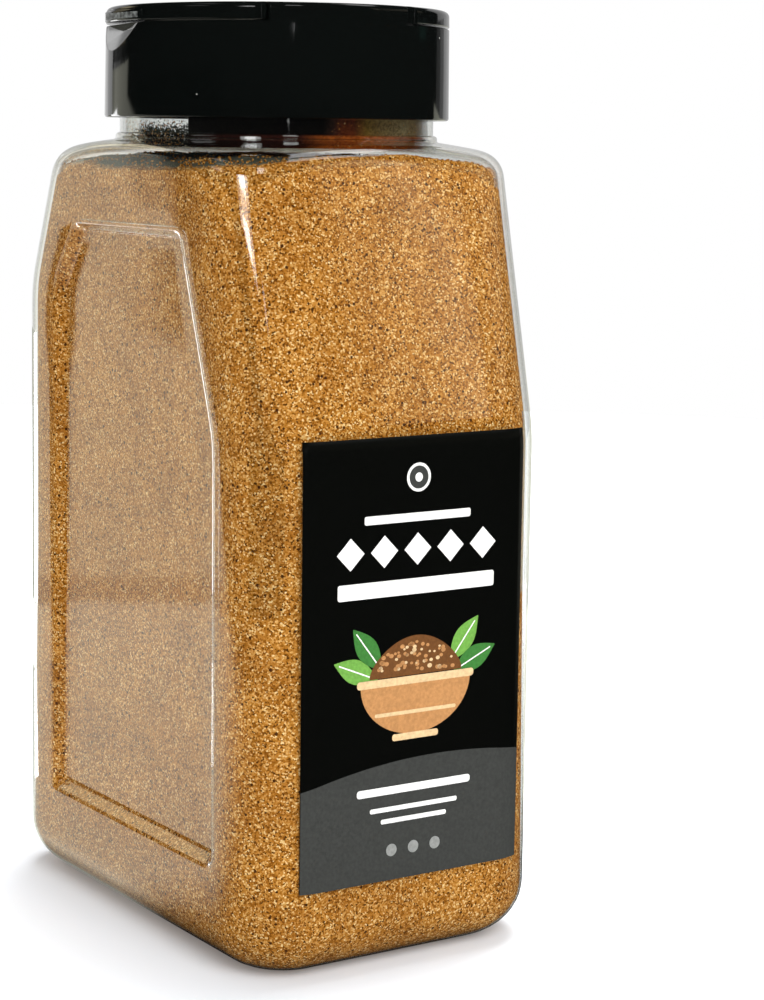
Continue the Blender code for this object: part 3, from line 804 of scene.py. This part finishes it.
def make_fill(powder):
    """The ground nutmeg as one solid: it reaches just into the wall, and its top is uneven."""
    columns = shoulder_columns(FILL_INSET)
    heights = [fill_line(column[0]) for column in columns]
    mesh = bmesh.new()
    from_wall = mesh.verts.layers.float.new("from_wall")
    ring = start_ring(mesh, wall_ring(FILL_BASE_INSET, FILL_BASE_INSET))
    bmesh.ops.contextual_create(mesh, geom=ring_edges(mesh, ring))
    levels = wall_levels(FILL_BASE_INSET)
    for z in levels:
        ring = raise_ring(mesh, ring, wall_ring(z, fill_inset(z)))
    for step in range(1, FILL_HEIGHT_STEPS + 1):
        share = step / FILL_HEIGHT_STEPS
        points = []
        for index, (column, height) in enumerate(zip(columns, heights)):
            z = levels[-1] + (height - levels[-1]) * share
            wall_point = wall_ring(z, FILL_INSET)[index] if z <= column[0].z else column[0]
            points.append(skin_point(column, wall_point, z))
        ring = raise_ring(mesh, ring, points)
    edge = points
    walls = set(mesh.faces)
    for step in range(1, FILL_TOP_RINGS):
        share = 1.0 - step / FILL_TOP_RINGS
        points = []
        for point in edge:
            height = FILL_MIDDLE_Z + (point.z - FILL_MIDDLE_Z) * share ** FILL_TOP_FLATNESS
            points.append(Vector((point.x * share, point.y * share, height)))
        ring = raise_ring(mesh, ring, points)
        for vert in ring:
            vert[from_wall] = 1.0 - share
    bmesh.ops.contextual_create(mesh, geom=ring_edges(mesh, ring))
    top = [face for face in mesh.faces if face not in walls and len(face.verts) == 4]
    lines = list(dict.fromkeys(line for face in top for line in face.edges))
    bmesh.ops.subdivide_edges(mesh, edges=lines, cuts=1, use_grid_fill=True)
    for vert in mesh.verts:
        if vert[from_wall] > 0.0:
            fade = min(1.0, vert[from_wall] / TOP_LUMPS_FADE)
            vert.co.z += top_relief(vert.co.x / MM, vert.co.y / MM) * fade * MM
    bmesh.ops.recalc_face_normals(mesh, faces=mesh.faces)
    surface = BVHTree.FromBMesh(mesh)
    fill = place_object("ground_nutmeg_fill", mesh, [powder], 60.0)
    dress(fill, "ground_nutmeg")
    return surface, edge


def add_grain(mesh, place, size, chance):
    """One grain: a lump of 20 faces, stretched and turned at random."""
    across = (chance.uniform(0.7, 1.3), chance.uniform(0.7, 1.3))
    stretch = Matrix.Diagonal((*across, chance.uniform(0.6, 1.0), 1.0))
    turn = Euler([chance.uniform(0, 2 * math.pi) for _ in range(3)]).to_matrix().to_4x4()
    bmesh.ops.create_icosphere(
        mesh, subdivisions=1, radius=size * MM, matrix=Matrix.Translation(place * MM) @ turn @ stretch
    )


def make_loose_grains(powder, surface, edge):
    """Coarser grains that lie loose on the top, most of them near the wall."""
    chance = random.Random(5)
    mesh = bmesh.new()
    for _ in range(LOOSE_GRAINS):
        point = chance.choice(edge)
        share = 1.0 - 0.55 * chance.random() ** 1.6 - 0.012
        x = point.x * share + chance.uniform(-1, 1)
        y = point.y * share + chance.uniform(-1, 1)
        found = surface.ray_cast(Vector((x, y, GRAIN_DROP_Z)) * MM, Vector((0, 0, -1)))[0]
        size = chance.uniform(*LOOSE_GRAIN_SIZE)
        off_wall = Vector((x, y)).length < point.to_2d().length - 0.6
        if found and found.z > GRAIN_LOWEST_Z * MM and off_wall:
            add_grain(mesh, found / MM + Vector((0, 0, size * 0.4)), size, chance)
    bmesh.ops.recalc_face_normals(mesh, faces=mesh.faces)
    dress(place_object("loose_grains", mesh, [powder], 60.0))


def make_neck_grains(powder):
    """Grains that cling to the inside of the neck, low down, most of them on the left."""
    chance = random.Random(8)
    mesh = bmesh.new()
    radius = NECK_RADIUS - WALL - 0.05
    for _ in range(NECK_GRAINS):
        reach = NECK_GRAINS_LEFT if chance.random() < NECK_GRAINS_LEFT_SHARE else NECK_GRAINS_RIGHT
        angle = math.radians(chance.uniform(*reach))
        height = NECK_SHEET_LEVELS[0] + 0.4 + 4.6 * chance.random() ** 1.9
        place = Vector((math.sin(angle) * radius, -math.cos(angle) * radius, height))
        add_grain(mesh, place, chance.uniform(*NECK_GRAIN_SIZE), chance)
    bmesh.ops.recalc_face_normals(mesh, faces=mesh.faces)
    dress(place_object("neck_grains", mesh, [powder], 60.0))


def make_neck_sheet():
    """Fine powder caked on the inside of the neck, from the left of the front to the right; its near-black
    middle is painted shade.
    """
    mesh = bmesh.new()
    radius = NECK_RADIUS - WALL - 0.06
    first, last = math.radians(NECK_SHEET_FIRST), math.radians(NECK_SHEET_LAST)
    x, y = math.sin(first) * radius, -math.cos(first) * radius
    start = [mesh.verts.new(Vector((x, y, z)) * MM) for z in NECK_SHEET_LEVELS]
    edges = [mesh.edges.new(pair) for pair in zip(start, start[1:])]
    bmesh.ops.spin(
        mesh, geom=start + edges, cent=(0, 0, 0), axis=(0, 0, 1), dvec=(0, 0, 0),
        angle=last - first, steps=90, use_merge=False,
    )
    bmesh.ops.recalc_face_normals(mesh, faces=mesh.faces)
    dust = place_object("neck_dust_and_painted_shade", mesh, [caked_dust_and_painted_shade()])
    add_thickness(dust, NECK_SHEET_THICKNESS, 0.0)
    dress(dust)


# ---------------------------------------------------------------- label


def front_wall_y(x, z):
    """The y of the jar's front at (x, z), round the start of its corners."""
    past = max(0.0, abs(x) - (HALF_WIDTH - CORNER_RADIUS))
    return CORNER_RADIUS - math.sqrt(CORNER_RADIUS ** 2 - past ** 2) - bend(z, FRONT_WALL)


def wrap(mesh, stand_off):
    """Lays a flat shape, drawn in x and y, on the jar's front with its faces outwards."""
    for vert in mesh.verts:
        x, z = vert.co.x / MM, vert.co.y / MM
        vert.co = Vector((x, front_wall_y(x, z) - stand_off, z)) * MM
    bmesh.ops.recalc_face_normals(mesh, faces=mesh.faces)
    if mesh.faces[:][0].normal.y > 0:
        bmesh.ops.reverse_faces(mesh, faces=mesh.faces)


def label_x(share):
    """The x at a share of the label's width, from -0.5 at its left edge to 0.5 at its right one."""
    return LABEL_LEFT_X + (LABEL_RIGHT_X - LABEL_LEFT_X) * (share + 0.5)


def make_label():
    """The label's film, bent round the front."""
    mesh = bmesh.new()
    bmesh.ops.create_grid(mesh, x_segments=40, y_segments=42, size=0.5)
    for vert in mesh.verts:
        vert.co.x = label_x(vert.co.x) * MM
        vert.co.y = (LABEL_BOTTOM_Z + (LABEL_TOP_Z - LABEL_BOTTOM_Z) * (vert.co.y + 0.5)) * MM
    wrap(mesh, LABEL_STAND_OFF)
    sheet = place_object("label_film", mesh, [printed_film("printed_film_black", "#070806")])
    add_thickness(sheet, LABEL_THICKNESS, 1.0)
    dress(sheet, "label")


def ellipse(mesh, centre, size, turn=0.0, point=0.0, segments=40):
    """A filled ellipse in the flat. With point above 0 its two ends are drawn out, as on a leaf."""
    made = bmesh.ops.create_circle(mesh, cap_ends=True, segments=segments, radius=1.0)["verts"]
    for vert in made:
        vert.co.y *= 1 - point * abs(vert.co.x) ** 2
    place_flat(made, centre, size, turn)


def bar(mesh, centre, size, rounding=0.0, turn=0.0):
    """A filled bar in the flat, with its corners rounded."""
    made = bmesh.ops.create_grid(mesh, x_segments=1, y_segments=1, size=1.0)["verts"]
    place_flat(made, centre, size, turn)
    if rounding:
        bmesh.ops.bevel(
            mesh, geom=list(made), offset=rounding * MM, segments=6, profile=0.5,
            affect="VERTICES", material=-1,
        )


def place_flat(verts, centre, size, turn):
    """Brings the corners of a shape of 2 by 2 to their size, turn and place in the flat."""
    spin = Matrix.Rotation(math.radians(turn), 3, "Z")
    for vert in verts:
        scaled = Vector((vert.co.x * size[0] / 2, vert.co.y * size[1] / 2, 0.0))
        vert.co = (spin @ scaled + Vector((*centre, 0.0))) * MM


def slice_mesh(mesh, place, direction, clear=False):
    """Cuts the faces along a plane; with clear, what lies past it goes."""
    everything = mesh.verts[:] + mesh.edges[:] + mesh.faces[:]
    bmesh.ops.bisect_plane(
        mesh, geom=everything, dist=1e-7, plane_co=Vector(place) * MM, plane_no=direction, clear_outer=clear
    )


def print_shape(target, ink_name, layer, draw, *sizes):
    """Draws one shape in the flat, lays it on the label and adds it to the print."""
    flat = bmesh.new()
    draw(flat, *sizes)
    for line in PRINT_SIDE_LINES:
        for side in (-line, line):
            slice_mesh(flat, (side, 0, 0), (1, 0, 0))
    wrap(flat, LABEL_STAND_OFF + LABEL_THICKNESS + PRINT_LAYER * layer)
    for face in flat.faces:
        face.material_index = [name for name, _ in PRINT_INKS].index(ink_name)
    data = bpy.data.meshes.new("print")
    flat.to_mesh(data)
    flat.free()
    target.from_mesh(data)
    bpy.data.meshes.remove(data)


def draw_ground(flat):
    """The lighter field along the foot of the label, with a low rounded top."""
    for vert in bmesh.ops.create_grid(flat, x_segments=40, y_segments=1, size=0.5)["verts"]:
        x = label_x(vert.co.x)
        top = GROUND_TOP_Z - GROUND_DROOP * (x - GROUND_CREST_X) ** 2
        vert.co = Vector((x, LABEL_BOTTOM_Z if vert.co.y < 0 else top, 0.0)) * MM


def draw_bowl(flat):
    ellipse(flat, (PRINT_MIDDLE_X, BOWL_RIM_Z), BOWL_SIZE, segments=64)
    slice_mesh(flat, (0, BOWL_RIM_Z, 0), (0, 1, 0), clear=True)


def draw_heap(flat):
    ellipse(flat, (PRINT_MIDDLE_X, HEAP_FOOT_Z), HEAP_SIZE, point=HEAP_POINT, segments=64)
    slice_mesh(flat, (0, HEAP_FOOT_Z, 0), (0, -1, 0), clear=True)


def print_heap_specks(mesh):
    """Clay and sand specks, scattered over the heap."""
    chance = random.Random(3)
    for _ in range(HEAP_SPECKS):
        across = chance.uniform(-8.6, 8.6)
        share = (across / (HEAP_SIZE[0] / 2)) ** 2
        rise = chance.uniform(0.1, 0.86) * 7.0 * math.sqrt(1 - share) * (1 - HEAP_POINT * share)
        size = chance.uniform(0.5, 1.1)
        colour = chance.choice(("clay", "clay", "sand"))
        place = (PRINT_MIDDLE_X + across, HEAP_FOOT_Z + 0.2 + rise)
        print_shape(mesh, colour, 5, ellipse, place, (size, size * 0.8), 0.0, 0.0, 10)


def make_print():
    """A generic printed design: a bowl of spice with leaves, lozenges between bars, and plain bars below."""
    mesh = bmesh.new()
    print_shape(mesh, "charcoal", 1, draw_ground)
    for reach, z, turn, colour in LEAVES:
        middle = (PRINT_MIDDLE_X + reach, z)
        print_shape(mesh, colour, 2, ellipse, middle, (10.5, 4.6), turn, 0.75)
        print_shape(mesh, "white", 3, bar, middle, (8.2, 0.25), 0.0, turn)
    print_shape(mesh, "bark", 4, draw_heap)
    print_heap_specks(mesh)
    print_shape(mesh, "clay", 6, draw_bowl)
    for z, size, rounding in BOWL_BANDS:
        print_shape(mesh, "sand", 7, bar, (PRINT_MIDDLE_X, z), size, rounding)
    for step in (-2, -1, 0, 1, 2):
        lozenge = (PRINT_MIDDLE_X + 7.5 * step, 80.6)
        print_shape(mesh, "white", 2, bar, lozenge, (4.3, 4.3), 0.0, 45.0)
    for z, size, rounding in LONG_BARS:
        print_shape(mesh, "white", 2, bar, (PRINT_MIDDLE_X, z), size, rounding)
    for layer, (colour, across) in enumerate((("white", 5.4), ("charcoal", 4.3), ("white", 1.7)), 2):
        print_shape(mesh, colour, layer, ellipse, (PRINT_MIDDLE_X, 94.0), (across, across))
    for z, size, rounding in FOOT_BARS:
        print_shape(mesh, "white", 2, bar, (PRINT_MIDDLE_X, z), size, rounding)
    for step in (-1, 0, 1):
        print_shape(mesh, "ash", 2, ellipse, (PRINT_MIDDLE_X + 5.0 * step, 23.6), (2.4, 2.4))
    inks = [printed_film(f"printing_ink_{name}", colour, 0.45) for name, colour in PRINT_INKS]
    label_print = place_object("label_print", mesh, inks, 0.0)
    add_thickness(label_print, PRINT_LAYER * 0.6, -1.0)
    dress(label_print)


# ---------------------------------------------------------------- cap


def turned_mesh(profile):
    """A bmesh of a profile of (radius, z), turned about the Z axis and closed."""
    mesh = bmesh.new()
    points = [mesh.verts.new(Vector((radius, 0.0, z)) * MM) for radius, z in profile]
    edges = [mesh.edges.new(pair) for pair in zip(points, points[1:])]
    bmesh.ops.spin(
        mesh, geom=points + edges, cent=(0, 0, 0), axis=(0, 0, 1), dvec=(0, 0, 0),
        angle=2 * math.pi, steps=CAP_STEPS, use_merge=True,
    )
    bmesh.ops.remove_doubles(mesh, verts=mesh.verts, dist=1e-6)
    bmesh.ops.recalc_face_normals(mesh, faces=mesh.faces)
    return mesh


def cut(mesh, place, direction, bevel=0.18):
    """Cuts off what lies past a plane, closes the cut and breaks its edges."""
    slice_mesh(mesh, place, direction, clear=True)
    rim = [edge for edge in mesh.edges if edge.is_boundary]
    bmesh.ops.holes_fill(mesh, edges=rim, sides=0)
    if bevel:
        bmesh.ops.bevel(
            mesh, geom=[edge for edge in rim if edge.is_valid], offset=bevel * MM, segments=3, profile=0.5,
            affect="EDGES", material=-1, clamp_overlap=True,
        )
    bmesh.ops.recalc_face_normals(mesh, faces=mesh.faces)


def combine(target, mesh, operation):
    """One Boolean step on an object, applied at once. The other mesh is used up."""
    other = place_object("helper", mesh, [], 0.0)
    step = target.modifiers.new("step", "BOOLEAN")
    step.operation = operation
    step.object = other
    step.solver = "EXACT"
    graph = bpy.context.evaluated_depsgraph_get()
    result = bpy.data.meshes.new_from_object(target.evaluated_get(graph), depsgraph=graph)
    target.modifiers.clear()
    target.data = result
    bpy.data.objects.remove(other, do_unlink=True)


def skirt_radius(z):
    """The cap's outer radius at a height. It narrows a little upwards."""
    share = (z - CAP_BOTTOM_Z) / (CAP_TOP_Z - CAP_BOTTOM_Z)
    return CAP_RADIUS + (CAP_TOP_RADIUS - CAP_RADIUS) * share


def rim_profile(low, high):
    """A disc's profile between two heights, with a rounded upper rim and a slightly domed top."""
    profile = [(0.0, high + CAP_DOME), (CAP_TOP_RADIUS * 0.5, high + CAP_DOME * 0.75)]
    for step in range(CAP_RIM_STEPS + 1):
        angle = 0.5 * math.pi * (1 - step / CAP_RIM_STEPS)
        across = CAP_TOP_RADIUS - CAP_RIM_ROUNDING * (1 - math.cos(angle))
        profile.append((across, high - CAP_RIM_ROUNDING * (1 - math.sin(angle))))
    foot = skirt_radius(low)
    return profile + [(foot, low + 0.12), (foot - 0.12, low), (0.0, low)]


def finish_cap_piece(made, name, node):
    """Turns the piece as the cap sits, and sets its shading."""
    made.name = name
    made.data.transform(Matrix.Rotation(CAP_TURN, 4, "Z"))
    made.data.shade_smooth()
    made.data.set_sharp_from_angle(angle=math.radians(28))
    dress(made, node)


def make_cap(black):
    """The skirt and deck in one, with the raised bar and a thumb scoop under each tab."""
    deck_under = DECK_Z - DECK_THICKNESS
    deck_radius = skirt_radius(DECK_Z)
    body = turned_mesh((
        (0.0, DECK_Z),
        (deck_radius - 0.2, DECK_Z),
        (deck_radius, DECK_Z - 0.2),
        (CAP_RADIUS, CAP_BOTTOM_Z + 0.45),
        (CAP_RADIUS - 0.13, CAP_BOTTOM_Z + 0.13),
        (CAP_RADIUS - 0.45, CAP_BOTTOM_Z),
        (CAP_INNER_RADIUS, CAP_BOTTOM_Z),
        (CAP_INNER_RADIUS, deck_under),
        (0.0, deck_under),
    ))
    for sign in (-1, 1):
        # The thumb scoop: a flat that leans inwards up to the tab.
        level = Vector((sign * math.cos(SCOOP_SIDE), -sign * math.sin(SCOOP_SIDE), 0.0))
        lean = level * math.cos(SCOOP_TILT) + Vector((0, 0, math.sin(SCOOP_TILT)))
        cut(body, level * CAP_RADIUS + Vector((0, 0, SCOOP_BOTTOM_Z)), lean, 0.12)
    cap = place_object("cap_body", body, [black], 0.0)
    middle_bar = turned_mesh(rim_profile(DECK_Z - 0.5, CAP_TOP_Z))
    cut(middle_bar, (BAR_LEFT, 0, 0), (-1, 0, 0))
    cut(middle_bar, (BAR_RIGHT, 0, 0), (1, 0, 0))
    combine(cap, middle_bar, "UNION")
    finish_cap_piece(cap, "cap_body", "cap")


def make_tab_mesh(sign, low):
    """The finger tab: a short stretch of a slightly larger disc, with its ends cut square."""
    reach = CAP_TOP_RADIUS + TAB_STAND_OUT
    high = low + TAB_HEIGHT
    corner = TAB_CHAMFER * 0.3
    tab = turned_mesh((
        (0.0, high),
        (reach - TAB_CHAMFER, high),
        (reach - corner, high - corner),
        (reach, high - TAB_CHAMFER),
        (reach, low + TAB_CHAMFER),
        (reach - corner, low + corner),
        (reach - TAB_CHAMFER, low),
        (0.0, low),
    ))
    cut(tab, (sign * (CAP_TOP_RADIUS - 3.0), 0, 0), (-sign, 0, 0), 0)
    cut(tab, (0, TAB_HALF_WIDTH, 0), (0, 1, 0), 0.4)
    cut(tab, (0, -TAB_HALF_WIDTH, 0), (0, -1, 0), 0.4)
    # Lines round the grained pad on its face.
    for z in (low + TAB_BORDER, high - TAB_BORDER):
        slice_mesh(tab, (0, 0, z), (0, 0, 1))
    for y in (PAD_HALF_WIDTH, -PAD_HALF_WIDTH):
        slice_mesh(tab, (0, y, 0), (0, 1, 0))
    return tab


def make_hinge_notch(middle):
    """An upright rod that cuts the small notch at one end of a flap's hinge."""
    mesh = bmesh.new()
    radius = HINGE_NOTCH_RADIUS * MM
    bmesh.ops.create_cone(
        mesh, cap_ends=True, segments=40, radius1=radius, radius2=radius, depth=20.0 * MM,
        matrix=Matrix.Translation(Vector(middle) * MM),
    )
    return mesh


def make_flap(side, hinge, black, grained):
    """One hinged flap: the part of the top disc beyond the bar, with a finger tab on its rim."""
    sign = math.copysign(1.0, hinge)
    low = DECK_Z + GAP
    disc = turned_mesh(rim_profile(low, CAP_TOP_Z))
    cut(disc, (hinge + sign * GAP, 0, 0), (-sign, 0, 0))
    flap = place_object(f"cap_flap_{side}", disc, [black], 0.0)
    combine(flap, make_tab_mesh(sign, low), "UNION")
    chord = math.sqrt(CAP_TOP_RADIUS ** 2 - hinge ** 2)
    for direction in (-1, 1):
        notch = make_hinge_notch((hinge + sign * HINGE_NOTCH_RADIUS, direction * chord, CAP_TOP_Z))
        combine(flap, notch, "DIFFERENCE")
    flap.data.materials.append(grained)
    for face in flap.data.polygons:
        place = face.center / MM
        on_tab = place.to_2d().length > CAP_TOP_RADIUS + 0.2
        if on_tab and abs(place.y) < PAD_HALF_WIDTH and TAB_BORDER < place.z - low < TAB_HEIGHT - TAB_BORDER:
            face.material_index = 1
    finish_cap_piece(flap, f"cap_flap_{side}", f"flap_{side}")


# ---------------------------------------------------------------- studio


def compass(azimuth, distance, z):
    """A point round the jar: azimuth 0 is +Y and grows towards +X, in degrees."""
    angle = math.radians(azimuth)
    return Vector((math.sin(angle) * distance, math.cos(angle) * distance, z)) * MM


def make_floor():
    """A white tabletop just below the jar. Reflections see the cards below instead of it."""
    mesh = bmesh.new()
    made = bmesh.ops.create_circle(mesh, cap_ends=True, segments=96, radius=FLOOR_RADIUS * MM)["verts"]
    bmesh.ops.translate(mesh, verts=made, vec=(0, 0, -0.02 * MM))
    floor = place_object("studio_floor", mesh, [stage_paper()], 0.0)
    floor.visible_glossy = False


def place_card(name, mesh, glow):
    """The mesh as a stage object that only reflections see."""
    card = place_object(name, mesh, [glow], 0.0)
    card.visible_camera = False
    card.visible_diffuse = False
    card.visible_shadow = False
    card.visible_transmission = False


def add_card(name, azimuths, heights, glow, distance=CARD_DISTANCE):
    """A glowing card that stands round the jar."""
    mesh = bmesh.new()
    first, last = azimuths
    count = max(2, int(abs(last - first) / CARD_STEP) + 1)
    low, high = (EYE_Z + distance * math.tan(math.radians(height)) for height in heights)
    turns = [first + (last - first) * step / count for step in range(count + 1)]
    line = [mesh.verts.new(compass(turn, distance, low)) for turn in turns]
    edges = [mesh.edges.new(pair) for pair in zip(line, line[1:])]
    made = bmesh.ops.extrude_edge_only(mesh, edges=edges)["geom"]
    upper = [item for item in made if isinstance(item, bmesh.types.BMVert)]
    bmesh.ops.translate(mesh, verts=upper, vec=(0, 0, (high - low) * MM))
    place_card(name, mesh, glow)


def add_cards(name, heights, stops, colour="#ffffff"):
    """A row of cards. A stop is the azimuth of an edge and the strength of the card after it."""
    for number, ((first, strength), (last, _)) in enumerate(zip(stops, stops[1:])):
        part = f"{name}_{number}"
        add_card(part, (first, last), heights, stage_glow(part, colour, strength))


def add_floor_card(name, azimuths, reach, rise, glow, centre=(0.0, 0.0)):
    """A glowing sector of the table, round the centre. Its reach is the distances of its two arcs."""
    mesh = bmesh.new()
    first, last = azimuths
    line = [mesh.verts.new(compass(first, distance, rise)) for distance in reach]
    edge = [mesh.edges.new(line)]
    bmesh.ops.spin(
        mesh, geom=line + edge, cent=(0, 0, 0), axis=(0, 0, 1), dvec=(0, 0, 0),
        angle=math.radians(first - last), steps=32, use_merge=False,
    )
    bmesh.ops.translate(mesh, verts=mesh.verts, vec=Vector((*centre, 0.0)) * MM)
    place_card(name, mesh, glow)


def make_cards():
    """What the jar and the cap mirror: a white table and sweep behind, and small lamps in a dark room."""
    table = stage_table_glow()
    add_floor_card("table_mirror", (-112.0, 84.0), (1, CARD_DISTANCE), -0.5, table)
    add_card("table_mirror_end", (-34.0, -6.5), (-6, 1.5), table)
    # The white line on the recess's front edge. All but one are laid out from that edge, so that little
    # of them shows in the jar's outline. The other also gives the pale band along the recess's top.
    for name, azimuths, reach, rise, strength, centre in (
        ("gleam_near", (-9.5, -1.0), (145, 262), -0.1, 7.0, RECESS_EDGE),
        ("gleam_between", (-14.0, 22.0), (236, 335), -0.2, 2.2, (0.0, 0.0)),
        ("gleam_far", (-14.0, -1.0), (368, 1490), -0.1, 5.5, RECESS_EDGE),
    ):
        add_floor_card(name, azimuths, reach, rise, stage_glow(name, "#ffffff", strength), centre)
    for row in CARD_ROWS:
        add_cards(*row)
    add_card("scoop_light", (0.0, 6.0), (11.2, 14.0), stage_glow("scoop_light", "#ffffff", 1.4), 1480)
    for part, heights, share in STRIP_LAMP_PARTS:
        stops = [(azimuth, strength * share) for azimuth, strength in STRIP_LAMP]
        add_cards(f"strip_lamp_{part}", heights, stops)


def add_light(name, place, target, side, power):
    """A square lamp that lights surfaces and shows in no reflection."""
    data = bpy.data.lights.new(name, "AREA")
    data.shape = "SQUARE"
    data.size = side * MM
    data.energy = power
    made = bpy.data.objects.new(name, data)
    made.location = place
    made.rotation_euler = (Vector(target) * MM - place).to_track_quat("-Z", "Y").to_euler()
    made.visible_glossy = False
    made.visible_camera = False
    bpy.context.scene.collection.objects.link(made)


def make_world():
    """White behind everything the camera sees, soft light on all sides, and a dark room in reflections."""
    world = bpy.data.worlds.new("studio")
    world.use_nodes = True
    world.node_tree.nodes.clear()
    add = partial(add_node, world.node_tree)
    path = add("LightPath")
    seen, soft_light, dark = (
        add("Background", {"Color": ink("#ffffff"), "Strength": strength}) for strength in (1.0, 0.6, 0.01)
    )
    lit = add("MixShader", {0: path.outputs["Is Glossy Ray"], 1: soft_light, 2: dark})
    both = add("MixShader", {0: path.outputs["Is Camera Ray"], 1: lit, 2: seen})
    add("OutputWorld", {"Surface": both})
    bpy.context.scene.world = world


def make_camera():
    """The photograph's camera, shifted sideways as the photograph frames the jar left of its middle."""
    data = bpy.data.cameras.new("camera")
    data.sensor_width = 36.0
    data.lens = CAMERA_LENS
    data.shift_x = CAMERA_SHIFT
    data.clip_start = 10 * MM
    made = bpy.data.objects.new("camera", data)
    ahead = Vector((math.sin(CAMERA_YAW), math.cos(CAMERA_YAW), 0.0))
    level = Vector((math.cos(CAMERA_YAW), -math.sin(CAMERA_YAW), 0.0))
    up = math.sin(CAMERA_PITCH) * ahead + math.cos(CAMERA_PITCH) * Vector((0, 0, 1))
    forward = math.cos(CAMERA_PITCH) * ahead - math.sin(CAMERA_PITCH) * Vector((0, 0, 1))
    right = math.cos(CAMERA_ROLL) * level + math.sin(CAMERA_ROLL) * up
    top = -math.sin(CAMERA_ROLL) * level + math.cos(CAMERA_ROLL) * up
    turn = Matrix((right, top, -forward)).transposed().to_4x4()
    made.matrix_world = Matrix.Translation(Vector(CAMERA_PLACE) * MM) @ turn
    bpy.context.scene.collection.objects.link(made)
    bpy.context.scene.camera = made


def make_studio():
    """The camera, the light and everything that the jar stands on or mirrors."""
    scene = bpy.context.scene
    scene.view_settings.view_transform = "Standard"
    scene.view_settings.look = "None"
    scene.cycles.use_denoising = True
    scene.cycles.max_bounces = 12
    scene.cycles.transparent_max_bounces = 24
    make_camera()
    make_world()
    make_floor()
    make_cards()
    add_light("key", compass(-165, 1100, 900), (0, 0, 80), 900, 15.5)
    add_light("top", compass(60, 300, 1100), (0, 0, 170), 500, 12.0)


def main():
    make_studio()
    powder = ground_nutmeg_powder()
    make_jar()
    surface, edge = make_fill(powder)
    make_loose_grains(powder, surface, edge)
    make_neck_grains(powder)
    make_neck_sheet()
    make_label()
    make_print()
    black = black_moulded_polypropylene()
    grained = grained_black_polypropylene()
    make_cap(black)
    for side, hinge in (("left", BAR_LEFT), ("right", BAR_RIGHT)):
        make_flap(side, hinge, black, grained)


main()
